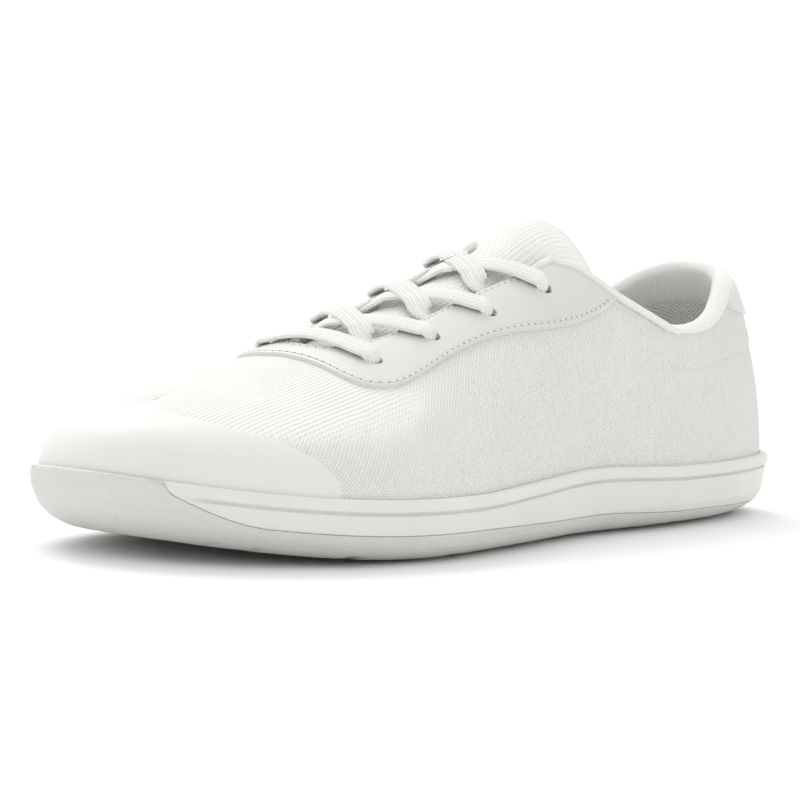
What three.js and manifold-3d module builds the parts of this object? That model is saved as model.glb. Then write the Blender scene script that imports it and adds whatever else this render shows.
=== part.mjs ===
import * as THREE from "three";
import { mergeVertices } from "three/addons/utils/BufferGeometryUtils.js";
import Module from "manifold-3d";

const wasm = await Module();
wasm.setup();

// Left barefoot shoe, in millimetres: X from heel to toe, Y to the outer side of the foot, Z up.
// Driving sizes of the last.
const LENGTH = 272;
const BALL_WIDTH = 103;
const HEEL_WIDTH = 74;
const INSTEP_HEIGHT = 77;
const TOE_HEIGHT = 39;
const HEEL_HEIGHT = 76;

// Driving sizes of the sole.
const RIM_HEIGHT = 18;
const TOE_SPRING = 8;
const SPRING_LENGTH = 77;
const SPRING_POWER = 1.8;
const CUP_WALL = 2.3;
const CUP_FLARE = 2.6;
const CUP_FLOOR = 8;
const OUTSOLE_THICKNESS = 3.4;
const TRAY_WALL = 5.2;
const BEAD_GROOVE = 0.9;
const BEAD_FADE = 3;
// The toe bumper's slanted end runs from the side groove to the rim, at these distances from the toe.
const BUMPER_FOOT_BACK = 17;
const BUMPER_TOP_BACK = 9;
const EDGE_ROUND = 15;
const TREAD_DEPTH = 1.4;
const TREAD_WIDTH = 2.6;
const INSOLE_THICKNESS = 3.6;

// Driving sizes of the upper and what lies on it.
const UPPER_WALL = 2;
const CAP_THICKNESS = 0.6;
const EYESTAY_THICKNESS = 1.1;
const TAB_THICKNESS = 1;
const COLLAR_PAD = 6;
const COLLAR_DEPTH = 26;
const COLLAR_TIP = 2;
const COLLAR_TIP_DEPTH = 8;
const COLLAR_TAPER_START = 0.4;
const THROAT_WIDTH = 24;
const THROAT_SHIFT = 2.5;
const EYELET_SPREAD = 39;
const EYELET_DIAMETER = 4.4;
const TONGUE_THICKNESS = 5;
const LACE_WIDTH = 7;
const LACE_THICKNESS = 1.7;
// How far a crossing lace starts behind the lace holes of its row, and its lift where it crosses.
const LACE_START_BACK = 8.4;
const LACE_LIFT = 1.55;

// Curved neighbours lie this far apart.
const GAP = 0.3;

// Lining and tongue run across the flats of the upper, so they keep this much more.
const FLAT_SAG = 0.6;

// Points round the outline, rows from the rim to the ridge, steps along curves and laces.
const ROUND = 66;
const RISE = 8;
const EDGE_STEPS = 23;
const CAP_STEPS = 16;
const COLLAR_STEPS = 24;
const LACE_STEPS = 8;
const HALVINGS = 40;

// Reach of a cutting block and how far one starts outside the shoe.
const REACH = 400;
const OUTSIDE = 20;

function table(names, ...rows) {
  return rows.map((row) => Object.fromEntries(names.map((name, k) => [name, row[k]])));
}

// Sections from heel to toe. outerAt, innerAt and ridgeAt are shares of the length. outer, inner and
// ridgeSide are shares of the heel or ball width, mixed by heel. instep and toe are shares of the
// instep and toe heights, which add up to the ridge. outerFull and innerFull bend the section on each
// side from flat to boxy.
const SECTIONS = table(
  ["outerAt", "outer", "innerAt", "inner", "heel", "ridgeAt", "ridgeSide", "instep", "toe",
    "outerFull", "innerFull"],
  [0, 0, 0, 0, 1, 0.13, 0, 1.2, 0, 2.6, 2.6],
  [0.037, 0.36, 0.037, -0.324, 1, 0.14, 0, 1.2, 0, 1.85, 1.9],
  [0.14, 0.534, 0.14, -0.446, 1, 0.17, 0, 1.22, 0, 1.45, 1.6],
  [0.276, 0.592, 0.276, -0.46, 1, 0.25, 0, 1.22, 0, 1.38, 1.6],
  [0.423, 0.498, 0.404, -0.395, 0.5, 0.38, 0, 1.045, 0, 1.8, 2.3],
  [0.57, 0.488, 0.533, -0.375, 0, 0.537, -0.01, 0.845, 0, 1.8, 2.4],
  [0.706, 0.526, 0.662, -0.427, 0, 0.684, -0.03, 0.5, 0.37, 1.7, 2.2],
  [0.818, 0.483, 0.782, -0.481, 0, 0.787, -0.05, 0.15, 0.86, 1.75, 2.1],
  [0.908, 0.361, 0.897, -0.427, 0, 0.853, -0.07, 0, 1.05, 1.9, 2.1],
  [0.97, 0.18, 0.972, -0.289, 0, 0.882, -0.08, 0, 1, 2, 2],
  [1, -0.042, 1, -0.042, 0, 0.89, -0.08, 0, 0.98, 2.1, 2.1],
);
const LAST_SECTION = SECTIONS.length - 1;

// Rim and side groove above the bottom, as shares of the rim height.
const SOLE_HEIGHTS = table(
  ["at", "rim", "groove"],
  [0, 1.005, 0.222],
  [0.26, 1.005, 0.28],
  [0.45, 1.09, 0.372],
  [0.7, 0.94, 0.428],
  [1, 0.81, 0.317],
);

// Side of the sole from the bottom up: inset from the outline as a share of the edge's round, share of
// the way up to the rim, and what is added to that as a share of the rim height. beadGroove marks the
// row that the groove under the bead cuts into.
const SOLE_SIDE = table(
  ["inset", "share", "up", "beadGroove"],
  [1, 0, 0, 0],
  [0.7, 0, 0.028, 0],
  [0.44, 0, 0.106, 0],
  [0.227, 0, 0.233, 0],
  [0.1, 0, 0.4, 0],
  [0.047, 1, -0.228, 0],
  [0.04, 1, -0.194, 1],
  [0.007, 1, -0.161, 0],
  [0, 1, -0.067, 0],
  [0.047, 1, -0.011, 0],
);

// Topline of the canvas in side view, from behind the heel to the top of the throat, as shares of the
// length and the heel height.
const TOPLINE = table(
  ["at", "up"],
  [-0.1, 0.925],
  [0.03, 0.92],
  [0.075, 0.88],
  [0.115, 0.81],
  [0.14, 0.765],
  [0.175, 0.728],
  [0.215, 0.717],
  [0.25, 0.733],
  [0.29, 0.785],
  [0.335, 0.852],
  [0.365, 0.918],
  [0.38, 0.955],
  [0.398, 0.968],
);

// Lower edge of the eyestay in side view, from its front over the vamp back to the topline.
const EYESTAY_EDGE = table(
  ["at", "up"],
  [0.738, 0.75],
  [0.739, 0.64],
  [0.742, 0.59],
  [0.737, 0.566],
  [0.722, 0.559],
  [0.7, 0.568],
  [0.665, 0.603],
  [0.615, 0.66],
  [0.567, 0.706],
  [0.525, 0.732],
  [0.475, 0.745],
  [0.425, 0.763],
  [0.375, 0.8],
  [0.333, 0.85],
);

// Front edge of the eyestay in plan, from the outer side over the vamp to the inner side.
const EYESTAY_FRONT = table(
  ["at", "side"],
  [0.744, 0.5],
  [0.744, 0.1],
  [0.746, -0.04],
  [0.742, -0.13],
  [0.725, -0.21],
  [0.69, -0.28],
  [0.66, -0.5],
);

// Throat from its round front end back, half of it as a share of the throat's width.
const THROAT = table(
  ["at", "half"],
  [0.708, 0],
  [0.705, 0.2],
  [0.695, 0.34],
  [0.672, 0.45],
  [0.635, 0.5],
  [0.56, 0.48],
  [0.48, 0.51],
  [0.43, 0.54],
  [0.25, 0.56],
);

// Rear edge of the toe cap in plan, from the outer rim over the vamp to the inner rim, as shares of the
// length and the ball width.
const CAP_EDGE = table(
  ["at", "side"],
  [0.82, 0.6],
  [0.845, 0.428],
  [0.862, 0.357],
  [0.877, 0.3],
  [0.898, 0.218],
  [0.918, 0.11],
  [0.925, 0],
  [0.92, -0.106],
  [0.9, -0.22],
  [0.868, -0.33],
  [0.835, -0.43],
  [0.8, -0.6],
);

// Lower edge of the heel tab in side view, from behind the heel forward.
const TAB_EDGE = table(
  ["at", "up"],
  [-0.1, 0.735],
  [0.06, 0.765],
  [0.114, 0.8],
);

// Lace holes from the toe end up, as shares of the length.
const EYELETS = [0.694, 0.612, 0.528, 0.441];

// Tongue from its covered front end to its free top: ridge section, half its width and the width of
// its raised middle in throat widths, how far the middle rises through the throat and how far the
// tongue sinks under the collar in tongue thicknesses, and its share of the full thickness.
const TONGUE = table(
  ["section", "half", "rise", "crown", "sink", "thick"],
  [6.35, 0.5, 0, 1, 0, 0.4],
  [6.15, 0.75, 0.1, 1, 0, 0.6],
  [5.8, 0.917, 0.4, 1, 0, 0.8],
  [5.3, 0.958, 0.5, 0.98, 0, 1],
  [4.8, 1, 0.58, 0.98, 0, 1],
  [4.4, 0.958, 1.2, 0.98, 0.26, 1],
  [4.1, 0.917, 1.8, 1.06, 0.48, 1],
  [3.85, 0.875, 1.6, 1.5, 0.52, 1],
  [3.65, 0.813, 0.84, 1.69, 0.52, 1],
  [3.5, 0.667, -0.3, 1.57, 0.4, 0.9],
  [3.42, 0.417, -1.3, 1.45, 0.4, 0.6],
);

// Flex grooves under the sole: place on the centre line as a share of the length, and turn in degrees.
const TREAD = table(
  ["at", "turn"],
  [0.09, -8],
  [0.16, 8],
  [0.24, -8],
  [0.31, 8],
  [0.59, 10],
  [0.65, -10],
  [0.72, 10],
  [0.78, -10],
  [0.84, 10],
  [0.885, -4],
  [0.93, 6],
);

// Collar pad's section: rise above the canvas edge and how deep it lies inward of the upper's face, as
// shares of the pad's thickness, apart from the reach down inside, a share of the collar's depth.
const COLLAR_SECTION = table(
  ["up", "down", "inward", "behind"],
  [0, 1, 0, 1],
  [0, 0, 0, 1],
  [0, 0, 0, 0],
  [0.28, 0, -0.02, 0],
  [0.62, 0, 0.14, 0],
  [0.78, 0, 0.45, 0],
  [0.62, 0, 0.85, 0],
  [0.15, 0, 1.1, 0],
  [0, 0.25, 1.12, 0],
  [0, 0.65, 0.8, 0],
  [0, 1, 0.42, 0],
);

function smooth(a, b, c, d, t) {
  const slopeIn = (c - a) / 2;
  const slopeOut = (d - b) / 2;
  const t2 = t * t;
  const t3 = t2 * t;
  const ends = (2 * t3 - 3 * t2 + 1) * b + (3 * t2 - 2 * t3) * c;
  return ends + (t3 - 2 * t2 + t) * slopeIn + (t3 - t2) * slopeOut;
}

// Value of one column at a section number, smooth from row to row.
function along(rows, column, place) {
  const k = Math.min(Math.floor(place), rows.length - 2);
  const pick = (n) => rows[Math.min(Math.max(n, 0), rows.length - 1)][column];
  return smooth(pick(k - 1), pick(k), pick(k + 1), pick(k + 2), place - k);
}

// Value of one column at a share of the length, eased from row to row.
function atShare(rows, column, share) {
  let k = 0;
  while (k < rows.length - 2 && share > rows[k + 1].at) k += 1;
  const t = THREE.MathUtils.clamp((share - rows[k].at) / (rows[k + 1].at - rows[k].at), 0, 1);
  return THREE.MathUtils.lerp(rows[k][column], rows[k + 1][column], t * t * (3 - 2 * t));
}

const widthAt = (row) => HEEL_WIDTH * row.heel + BALL_WIDTH * (1 - row.heel);
const outlineCurve = new THREE.CatmullRomCurve3(
  [
    ...SECTIONS.map((row) => new THREE.Vector3(row.outerAt * LENGTH, row.outer * widthAt(row), 0)),
    ...SECTIONS.slice(1, -1).reverse().map(
      (row) => new THREE.Vector3(row.innerAt * LENGTH, row.inner * widthAt(row), 0),
    ),
  ],
  true, "catmullrom", 0.5,
);

// Point of the outline at a place from 0 to ROUND, moved inward by inset.
function outlinePoint(place, inset) {
  const share = ((place / ROUND) % 1 + 1) % 1;
  const point = outlineCurve.getPoint(share);
  const tangent = outlineCurve.getTangent(share);
  return point.add(new THREE.Vector3(tangent.y, -tangent.x, 0).multiplyScalar(inset));
}

function bottomAt(x) {
  const share = Math.max(x - LENGTH + SPRING_LENGTH, 0) / SPRING_LENGTH;
  return TOE_SPRING * share ** SPRING_POWER;
}

const rimAt = (x) => bottomAt(x) + RIM_HEIGHT * atShare(SOLE_HEIGHTS, "rim", x / LENGTH);
const grooveAt = (x) => bottomAt(x) + RIM_HEIGHT * atShare(SOLE_HEIGHTS, "groove", x / LENGTH);
const floorAt = (x) => bottomAt(x) + CUP_FLOOR;

// One ring round the outline at an inset, with its height worked out from each point's own place.
function ring(inset, height) {
  return Array.from({ length: ROUND }, (_, k) => {
    const point = outlinePoint(k, 0);
    const depth = typeof inset === "function" ? inset(point.x) : inset;
    const moved = outlinePoint(k, depth);
    moved.z = height(moved.x);
    return moved;
  });
}

function addTriangle(corners, a, b, c) {
  const apart = (p, q) => p.distanceToSquared(q) > 1e-8;
  if (apart(a, b) && apart(b, c) && apart(c, a)) corners.push(a, b, c);
}

function addQuad(corners, a, b, c, d) {
  addTriangle(corners, a, b, c);
  addTriangle(corners, a, c, d);
}

// Strips across a ring, from each outer point to the inner point at the same section.
function addLid(corners, points, facingUp) {
  for (let k = 0; k < ROUND / 2; k += 1) {
    const quad = [points[k], points[k + 1], points[(ROUND - k - 1) % ROUND], points[(ROUND - k) % ROUND]];
    if (facingUp) quad.reverse();
    addQuad(corners, ...quad);
  }
}

function solidOf(geometry) {
  const bare = new THREE.BufferGeometry();
  bare.setAttribute("position", geometry.getAttribute("position"));
  if (geometry.index) bare.setIndex(geometry.index);
  const merged = mergeVertices(bare, 1e-4);
  return new wasm.Manifold(new wasm.Mesh({
    numProp: 3,
    vertProperties: new Float32Array(merged.getAttribute("position").array),
    triVerts: new Uint32Array(merged.index.array),
  }));
}

// Closed solid through rings from the lowest or outermost to the last, closed by strips at both ends.
function loft(rings) {
  const corners = [];
  addLid(corners, rings[0], false);
  for (let j = 0; j + 1 < rings.length; j += 1) {
    for (let k = 0; k < ROUND; k += 1) {
      const next = (k + 1) % ROUND;
      addQuad(corners, rings[j][next], rings[j][k], rings[j + 1][k], rings[j + 1][next]);
    }
  }
  addLid(corners, rings[rings.length - 1], true);
  return solidOf(new THREE.BufferGeometry().setFromPoints(corners));
}

// Block over a side view of [x, z] points, right through the shoe.
function sideBlock(points) {
  const shape = new THREE.Shape(points.map(([x, z]) => new THREE.Vector2(x, z)));
  const geometry = new THREE.ExtrudeGeometry(shape, { depth: REACH, bevelEnabled: false });
  geometry.rotateX(Math.PI / 2);
  geometry.translate(0, REACH / 2, 0);
  return solidOf(geometry);
}

// Block over a plan of [x, y] points, from one height to another.
function planBlock(points, low = -REACH / 2, high = REACH / 2) {
  const shape = new THREE.Shape(points.map(([x, y]) => new THREE.Vector2(x, y)));
  const geometry = new THREE.ExtrudeGeometry(shape, { depth: high - low, bevelEnabled: false });
  geometry.translate(0, 0, low);
  return solidOf(geometry);
}

const sectionOf = (place) => (LAST_SECTION * Math.abs(place)) / (ROUND / 2);
const fullnessAt = (place) => along(SECTIONS, place < 0 ? "innerFull" : "outerFull", sectionOf(place));

// Upper's form, grown outward by grow, from the cup's floor over the ridge.
function lastPoint(place, angle, grow) {
  const section = sectionOf(place);
  const base = outlinePoint(place, CUP_WALL + GAP - grow);
  base.z = rimAt(base.x);
  const ridge = new THREE.Vector3(
    along(SECTIONS, "ridgeAt", section) * LENGTH,
    along(SECTIONS, "ridgeSide", section) * BALL_WIDTH,
    along(SECTIONS, "instep", section) * INSTEP_HEIGHT + along(SECTIONS, "toe", section) * TOE_HEIGHT + grow,
  );
  const power = 2 / fullnessAt(place);
  const across = Math.max(Math.cos(angle), 0) ** power;
  const rise = Math.sin(angle) ** power;
  return new THREE.Vector3(
    THREE.MathUtils.lerp(ridge.x, base.x, across),
    THREE.MathUtils.lerp(ridge.y, base.y, across),
    THREE.MathUtils.lerp(base.z, ridge.z, rise),
  );
}

function lastForm(grow, below = 0) {
  const rings = [ring(CUP_WALL + CUP_FLARE + GAP - grow, (x) => floorAt(x) + GAP - below)];
  for (let j = 0; j <= RISE; j += 1) {
    const angle = (Math.PI / 2) * (j / RISE);
    const places = Array.from({ length: ROUND }, (_, k) => (k > ROUND / 2 ? k - ROUND : k));
    rings.push(places.map((place) => lastPoint(place, angle, grow)));
  }
  return loft(rings);
}

function pieceMesh(solid, name, colour, roughness) {
  const { vertProperties, triVerts } = solid.getMesh();
  const geometry = new THREE.BufferGeometry();
  geometry.setAttribute("position", new THREE.BufferAttribute(new Float32Array(vertProperties), 3));
  geometry.setIndex(new THREE.BufferAttribute(new Uint32Array(triVerts), 1));
  const material = new THREE.MeshStandardMaterial({ color: colour, roughness, metalness: 0 });
  const mesh = new THREE.Mesh(geometry, material);
  mesh.name = name;
  return mesh;
}

const shoe = new THREE.Group();

// Sole: one blank with the cup inside, parted into outsole and midsole along the side groove.
const BUMPER_FOOT = LENGTH - BUMPER_FOOT_BACK;
const BUMPER_TOP = LENGTH - BUMPER_TOP_BACK;
function beadGrooveDepth(x) {
  return BEAD_GROOVE * (1 - THREE.MathUtils.smoothstep(x, BUMPER_FOOT, BUMPER_TOP - BEAD_FADE));
}

function soleBlank() {
  const rings = SOLE_SIDE.map((row) => ring(
    (x) => row.inset * EDGE_ROUND + row.beadGroove * beadGrooveDepth(x),
    (x) => THREE.MathUtils.lerp(bottomAt(x), rimAt(x), row.share) + row.up * RIM_HEIGHT,
  ));
  rings.push(ring(CUP_WALL, rimAt));
  rings.push(ring(CUP_WALL + CUP_FLARE, floorAt));
  return loft(rings);
}

function outsoleRegion(clearance) {
  const seam = [];
  for (let k = 0; k <= EDGE_STEPS; k += 1) {
    const x = THREE.MathUtils.lerp(-OUTSIDE, BUMPER_FOOT, k / EDGE_STEPS);
    seam.push([x - clearance, grooveAt(x) + clearance]);
  }
  // Moved across the slant, the line keeps the clearance there too.
  const slanted = BUMPER_TOP - clearance * Math.SQRT2;
  seam.push([slanted, rimAt(BUMPER_TOP)]);
  seam.push([slanted, REACH]);
  const below = sideBlock([
    [-REACH, -REACH], [REACH, -REACH], [REACH, REACH], ...seam.reverse(), [-REACH, seam[seam.length - 1][1]],
  ]);
  const tray = loft([
    ring(TRAY_WALL + clearance, (x) => bottomAt(x) + OUTSOLE_THICKNESS + clearance),
    ring(TRAY_WALL + clearance, (x) => bottomAt(x) + CUP_FLOOR + OUTSIDE),
  ]);
  return below.subtract(tray);
}

// Flex grooves cut the bottom into lugs.
function treadCut({ at, turn }) {
  const bar = new THREE.BoxGeometry(TREAD_WIDTH, BALL_WIDTH + 2 * OUTSIDE, 2 * TREAD_DEPTH);
  bar.rotateZ(THREE.MathUtils.degToRad(turn));
  bar.translate(at * LENGTH, 0, bottomAt(at * LENGTH));
  return solidOf(bar);
}

const blank = soleBlank();
const tread = TREAD.map(treadCut).reduce((sum, bar) => sum.add(bar));
const outsole = blank.intersect(outsoleRegion(0)).subtract(tread);
shoe.add(pieceMesh(outsole, "outsole", 0xe1e1df, 0.6));
shoe.add(pieceMesh(blank.subtract(outsoleRegion(GAP)), "midsole", 0xedece6, 0.55));

const insoleInset = CUP_WALL + CUP_FLARE + UPPER_WALL + 2 * GAP;
const insole = loft([
  ring(insoleInset, (x) => floorAt(x) + GAP),
  ring(insoleInset, (x) => floorAt(x) + GAP + INSOLE_THICKNESS),
]);
shoe.add(pieceMesh(insole, "insole", 0xdcdcda, 0.9));

// Upper: the last's form less the same form one wall smaller, cut at collar, throat and lace holes.
const splinePoints = (rows) => new THREE.SplineCurve(
  rows.map((row) => new THREE.Vector2(row.at * LENGTH, row.up * HEEL_HEIGHT)),
).getPoints(EDGE_STEPS);
const topline = splinePoints(TOPLINE);

function toplineAt(x) {
  let k = 0;
  while (k < topline.length - 2 && x > topline[k + 1].x) k += 1;
  const t = (x - topline[k].x) / (topline[k + 1].x - topline[k].x);
  return THREE.MathUtils.lerp(topline[k].y, topline[k + 1].y, THREE.MathUtils.clamp(t, 0, 1));
}

function topCut() {
  const line = topline.map((point) => [point.x, point.y]);
  const front = line[line.length - 1][0];
  return sideBlock([...line, [front, REACH], [-REACH, REACH], [-REACH, line[0][1]]]);
}

const ridgeSideAt = (x) => {
  let section = 0;
  while (section < LAST_SECTION && along(SECTIONS, "ridgeAt", section) * LENGTH < x) section += 0.05;
  return along(SECTIONS, "ridgeSide", Math.min(section, LAST_SECTION)) * BALL_WIDTH;
};

// Middle of the throat, a little to the outer side of the ridge.
const throatSideAt = (x) => ridgeSideAt(x) + THROAT_SHIFT;

function throatCut() {
  const edge = THROAT.map((row) => [row.at * LENGTH, row.half * THROAT_WIDTH]);
  const outer = edge.map(([x, half]) => [x, throatSideAt(x) + half]);
  const inner = edge.slice(1).reverse().map(([x, half]) => [x, throatSideAt(x) - half]);
  return planBlock([...outer, ...inner]);
}

// Place and angle on the form over a plan point, with side 1 on the outer and -1 on the inner half.
function placeOver(x, y, side) {
  const miss = (place) => {
    const ridge = lastPoint(place, Math.PI / 2, 0);
    const base = lastPoint(place, 0, 0);
    return ((x - ridge.x) * (base.y - ridge.y) - (y - ridge.y) * (base.x - ridge.x)) * side;
  };
  let low = side * 0.05 * ROUND;
  let high = side * 0.48 * ROUND;
  for (let k = 0; k < HALVINGS; k += 1) {
    const middle = (low + high) / 2;
    if (miss(middle) > 0) low = middle;
    else high = middle;
  }
  const ridge = lastPoint(low, Math.PI / 2, 0);
  const base = lastPoint(low, 0, 0);
  const across = Math.hypot(x - ridge.x, y - ridge.y) / Math.hypot(base.x - ridge.x, base.y - ridge.y);
  const angle = Math.acos(Math.min(across, 1) ** (fullnessAt(low) / 2));
  return { place: low, angle };
}

// Outward normal of the form, from short steps round it and up to the angle.
function normalAt({ place, angle }) {
  const step = 0.02;
  const around = lastPoint(place + step, angle, 0).sub(lastPoint(place - step, angle, 0));
  const upward = lastPoint(place, angle - step, 0).sub(lastPoint(place, angle - 3 * step, 0));
  return upward.cross(around).normalize();
}

const eyelets = EYELETS.flatMap((share) => [1, -1].map((side) => {
  const x = share * LENGTH;
  const y = throatSideAt(x) + (side * EYELET_SPREAD) / 2;
  const spot = placeOver(x, y, side);
  return { point: lastPoint(spot.place, spot.angle, 0), normal: normalAt(spot) };
}));

function eyeletHole({ point, normal }) {
  const drill = new THREE.CylinderGeometry(EYELET_DIAMETER / 2, EYELET_DIAMETER / 2, OUTSIDE / 2, 8);
  drill.applyQuaternion(new THREE.Quaternion().setFromUnitVectors(new THREE.Vector3(0, 1, 0), normal));
  drill.translate(point.x, point.y, point.z);
  return solidOf(drill);
}

const throat = throatCut();
const above = topCut();
const openings = eyelets.map(eyeletHole).reduce((sum, hole) => sum.add(hole), above.add(throat));

const upper = lastForm(0).subtract(lastForm(-UPPER_WALL, 3)).subtract(openings);
shoe.add(pieceMesh(upper, "upper", 0xf2f2ee, 0.85));

// Overlays: thin shells grown from the same form.
const shellOf = (thickness) => lastForm(GAP + thickness).subtract(lastForm(GAP, 3));

const rimClear = loft([
  ring(-OUTSIDE, () => -OUTSIDE),
  ring(-OUTSIDE, (x) => rimAt(x) + GAP),
]);
const capCurve = new THREE.SplineCurve(
  CAP_EDGE.map((row) => new THREE.Vector2(row.at * LENGTH, row.side * BALL_WIDTH)),
).getPoints(CAP_STEPS);
const capEdge = capCurve.map((point) => [point.x, point.y]);
const beyondToe = [[LENGTH + OUTSIDE, -BALL_WIDTH], [LENGTH + OUTSIDE, BALL_WIDTH]];
const capBlock = planBlock([...capEdge, ...beyondToe].reverse());
const toeCap = shellOf(CAP_THICKNESS).intersect(capBlock).subtract(rimClear);
shoe.add(pieceMesh(toeCap, "toe_cap", 0xf4f4f1, 0.4));

const stayEdge = splinePoints(EYESTAY_EDGE).map((point) => [point.x, point.y]);
const [stayStart, stayEnd] = [stayEdge[0], stayEdge[stayEdge.length - 1]];
const stayFront = EYESTAY_FRONT.map((row) => [row.at * LENGTH, row.side * BALL_WIDTH]);
const stayBlock = sideBlock([
  ...stayEdge, [stayEnd[0], REACH], [stayStart[0] + OUTSIDE, REACH], [stayStart[0] + OUTSIDE, stayStart[1]],
]).intersect(planBlock([...stayFront, [0, -BALL_WIDTH], [0, BALL_WIDTH]].reverse()));
const eyestay = shellOf(EYESTAY_THICKNESS).intersect(stayBlock).subtract(openings);
shoe.add(pieceMesh(eyestay, "eyestay", 0xf1f1ee, 0.45));

const tabEdge = TAB_EDGE.map((row) => [row.at * LENGTH, row.up * HEEL_HEIGHT]);
const tabBlock = sideBlock([...tabEdge, [tabEdge[tabEdge.length - 1][0], REACH], [tabEdge[0][0], REACH]]);
const heelTab = shellOf(TAB_THICKNESS).intersect(tabBlock).subtract(above);
shoe.add(pieceMesh(heelTab, "heel_tab", 0xf1f1ee, 0.45));

// Closed sweep through equal rings of points, with flat fans over both ends.
function sweep(rings) {
  const corners = [];
  const count = rings[0].length;
  for (let j = 0; j + 1 < rings.length; j += 1) {
    for (let k = 0; k < count; k += 1) {
      const next = (k + 1) % count;
      addQuad(corners, rings[j][k], rings[j][next], rings[j + 1][next], rings[j + 1][k]);
    }
  }
  const last = rings[rings.length - 1];
  for (const [points, order] of [[rings[0], 1], [last, -1]]) {
    const middle = points.reduce((sum, point) => sum.add(point), new THREE.Vector3()).divideScalar(count);
    points.forEach((point, k) => {
      const next = points[(k + 1) % count];
      if (order > 0) addTriangle(corners, middle, next, point);
      else addTriangle(corners, middle, point, next);
    });
  }
  return solidOf(new THREE.BufferGeometry().setFromPoints(corners));
}

const COLLAR_REACH = 0.187 * ROUND;

// Collar pad: a padded roll over the canvas edge, tapering down inside the heel.
function collarPoint(place, row) {
  const taper = THREE.MathUtils.smoothstep(Math.abs(place) / COLLAR_REACH, COLLAR_TAPER_START, 1);
  const pad = THREE.MathUtils.lerp(COLLAR_PAD, COLLAR_TIP, taper);
  const depth = THREE.MathUtils.lerp(COLLAR_DEPTH, COLLAR_TIP_DEPTH, taper);
  const grow = -row.inward * pad - row.behind * (UPPER_WALL + GAP + FLAT_SAG);
  let low = 0;
  let high = Math.PI / 2;
  const target = (x) => toplineAt(x) + GAP + FLAT_SAG + row.up * pad - row.down * depth;
  for (let k = 0; k < HALVINGS; k += 1) {
    const middle = (low + high) / 2;
    const point = lastPoint(place, middle, grow);
    if (point.z < target(point.x)) low = middle;
    else high = middle;
  }
  return lastPoint(place, low, grow);
}

const collarRings = Array.from({ length: COLLAR_STEPS + 1 }, (_, k) => {
  const place = THREE.MathUtils.lerp(-COLLAR_REACH, COLLAR_REACH, k / COLLAR_STEPS);
  return COLLAR_SECTION.map((row) => collarPoint(place, row));
});
shoe.add(pieceMesh(sweep(collarRings), "collar_lining", 0xdededb, 0.95));

// Tongue: padded sheet under the throat that rises through it and stands free above the collar.
function tonguePoint(row, offset, grow) {
  const side = offset < 0 ? -1 : 1;
  const place = (side * row.section * ROUND) / 2 / LAST_SECTION;
  const ridge = lastPoint(place, Math.PI / 2, grow);
  const base = lastPoint(place, 0, grow);
  const across = Math.abs(offset) / Math.hypot(base.x - ridge.x, base.y - ridge.y);
  const angle = Math.acos(across ** (fullnessAt(place) / 2));
  const point = lastPoint(place, angle, grow);
  const reach = (row.crown * THROAT_WIDTH) / 2;
  point.z += row.rise * TONGUE_THICKNESS * Math.max(1 - Math.abs((offset - THROAT_SHIFT) / reach) ** 3, 0);
  return point;
}

const TONGUE_SHARES = [-1, -0.75, -0.5, -0.25, 0, 0.25, 0.5, 0.75, 1];
const tongueRings = TONGUE.map((row) => {
  const cover = -(UPPER_WALL + GAP + FLAT_SAG + row.sink * TONGUE_THICKNESS);
  const half = row.half * THROAT_WIDTH;
  const over = TONGUE_SHARES.map((share) => tonguePoint(row, share * half, cover));
  const under = TONGUE_SHARES.slice(1, -1).reverse().map((share) => {
    const thickness = TONGUE_THICKNESS * row.thick * (1 - share ** 4);
    return tonguePoint(row, share * half, cover - thickness);
  });
  return [...over, ...under];
});
shoe.add(pieceMesh(sweep(tongueRings), "tongue", 0xf0f0ec, 0.9));

// Lace: flat straps over the eyestay, lifted where one crosses the other.
const LACE_SIDES = [[-1, 0], [-0.8, -0.8], [0, -1], [0.8, -0.8], [1, 0], [0.8, 0.8], [0, 1], [-0.8, 0.8]];
function laceStrap(start, end, lift) {
  const spots = Array.from({ length: LACE_STEPS + 1 }, (_, k) => {
    const t = k / LACE_STEPS;
    const x = THREE.MathUtils.lerp(start[0], end[0], t);
    const y = THREE.MathUtils.lerp(start[1], end[1], t);
    const side = y < ridgeSideAt(x) ? -1 : 1;
    const spot = placeOver(x, y, side);
    const normal = normalAt(spot);
    const raised = 2 * GAP + EYESTAY_THICKNESS + LACE_THICKNESS / 2 + lift * Math.sin(Math.PI * t) ** 2;
    return { point: lastPoint(spot.place, spot.angle, 0).addScaledVector(normal, raised), normal };
  });
  return sweep(spots.map(({ point, normal }, k) => {
    const ahead = spots[Math.min(k + 1, LACE_STEPS)].point.clone().sub(spots[Math.max(k - 1, 0)].point);
    const across = new THREE.Vector3().crossVectors(normal, ahead).normalize();
    const up = new THREE.Vector3().crossVectors(ahead, across).normalize();
    return LACE_SIDES.map(([w, h]) => point.clone()
      .addScaledVector(across, (w * LACE_WIDTH) / 2)
      .addScaledVector(up, (h * LACE_THICKNESS) / 2));
  }));
}

const eyeletSpot = (row, side) => {
  const { point } = eyelets[2 * row + (side > 0 ? 0 : 1)];
  return [point.x, point.y];
};
const throatSpot = (row, side) => {
  const x = EYELETS[row] * LENGTH - LACE_START_BACK;
  return [x, throatSideAt(x) + side * (THROAT_WIDTH / 2 - LACE_WIDTH / 2)];
};
shoe.add(pieceMesh(laceStrap(eyeletSpot(0, -1), eyeletSpot(0, 1), 0), "lace_bar", 0xf3f3f0, 0.8));
for (let row = 0; row + 1 < EYELETS.length; row += 1) {
  const under = laceStrap(throatSpot(row, -1), eyeletSpot(row + 1, 1), 0);
  const over = laceStrap(throatSpot(row, 1), eyeletSpot(row + 1, -1), LACE_LIFT);
  shoe.add(pieceMesh(under.add(over), `lace_cross_${row + 1}`, 0xf3f3f0, 0.8));
}

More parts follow.
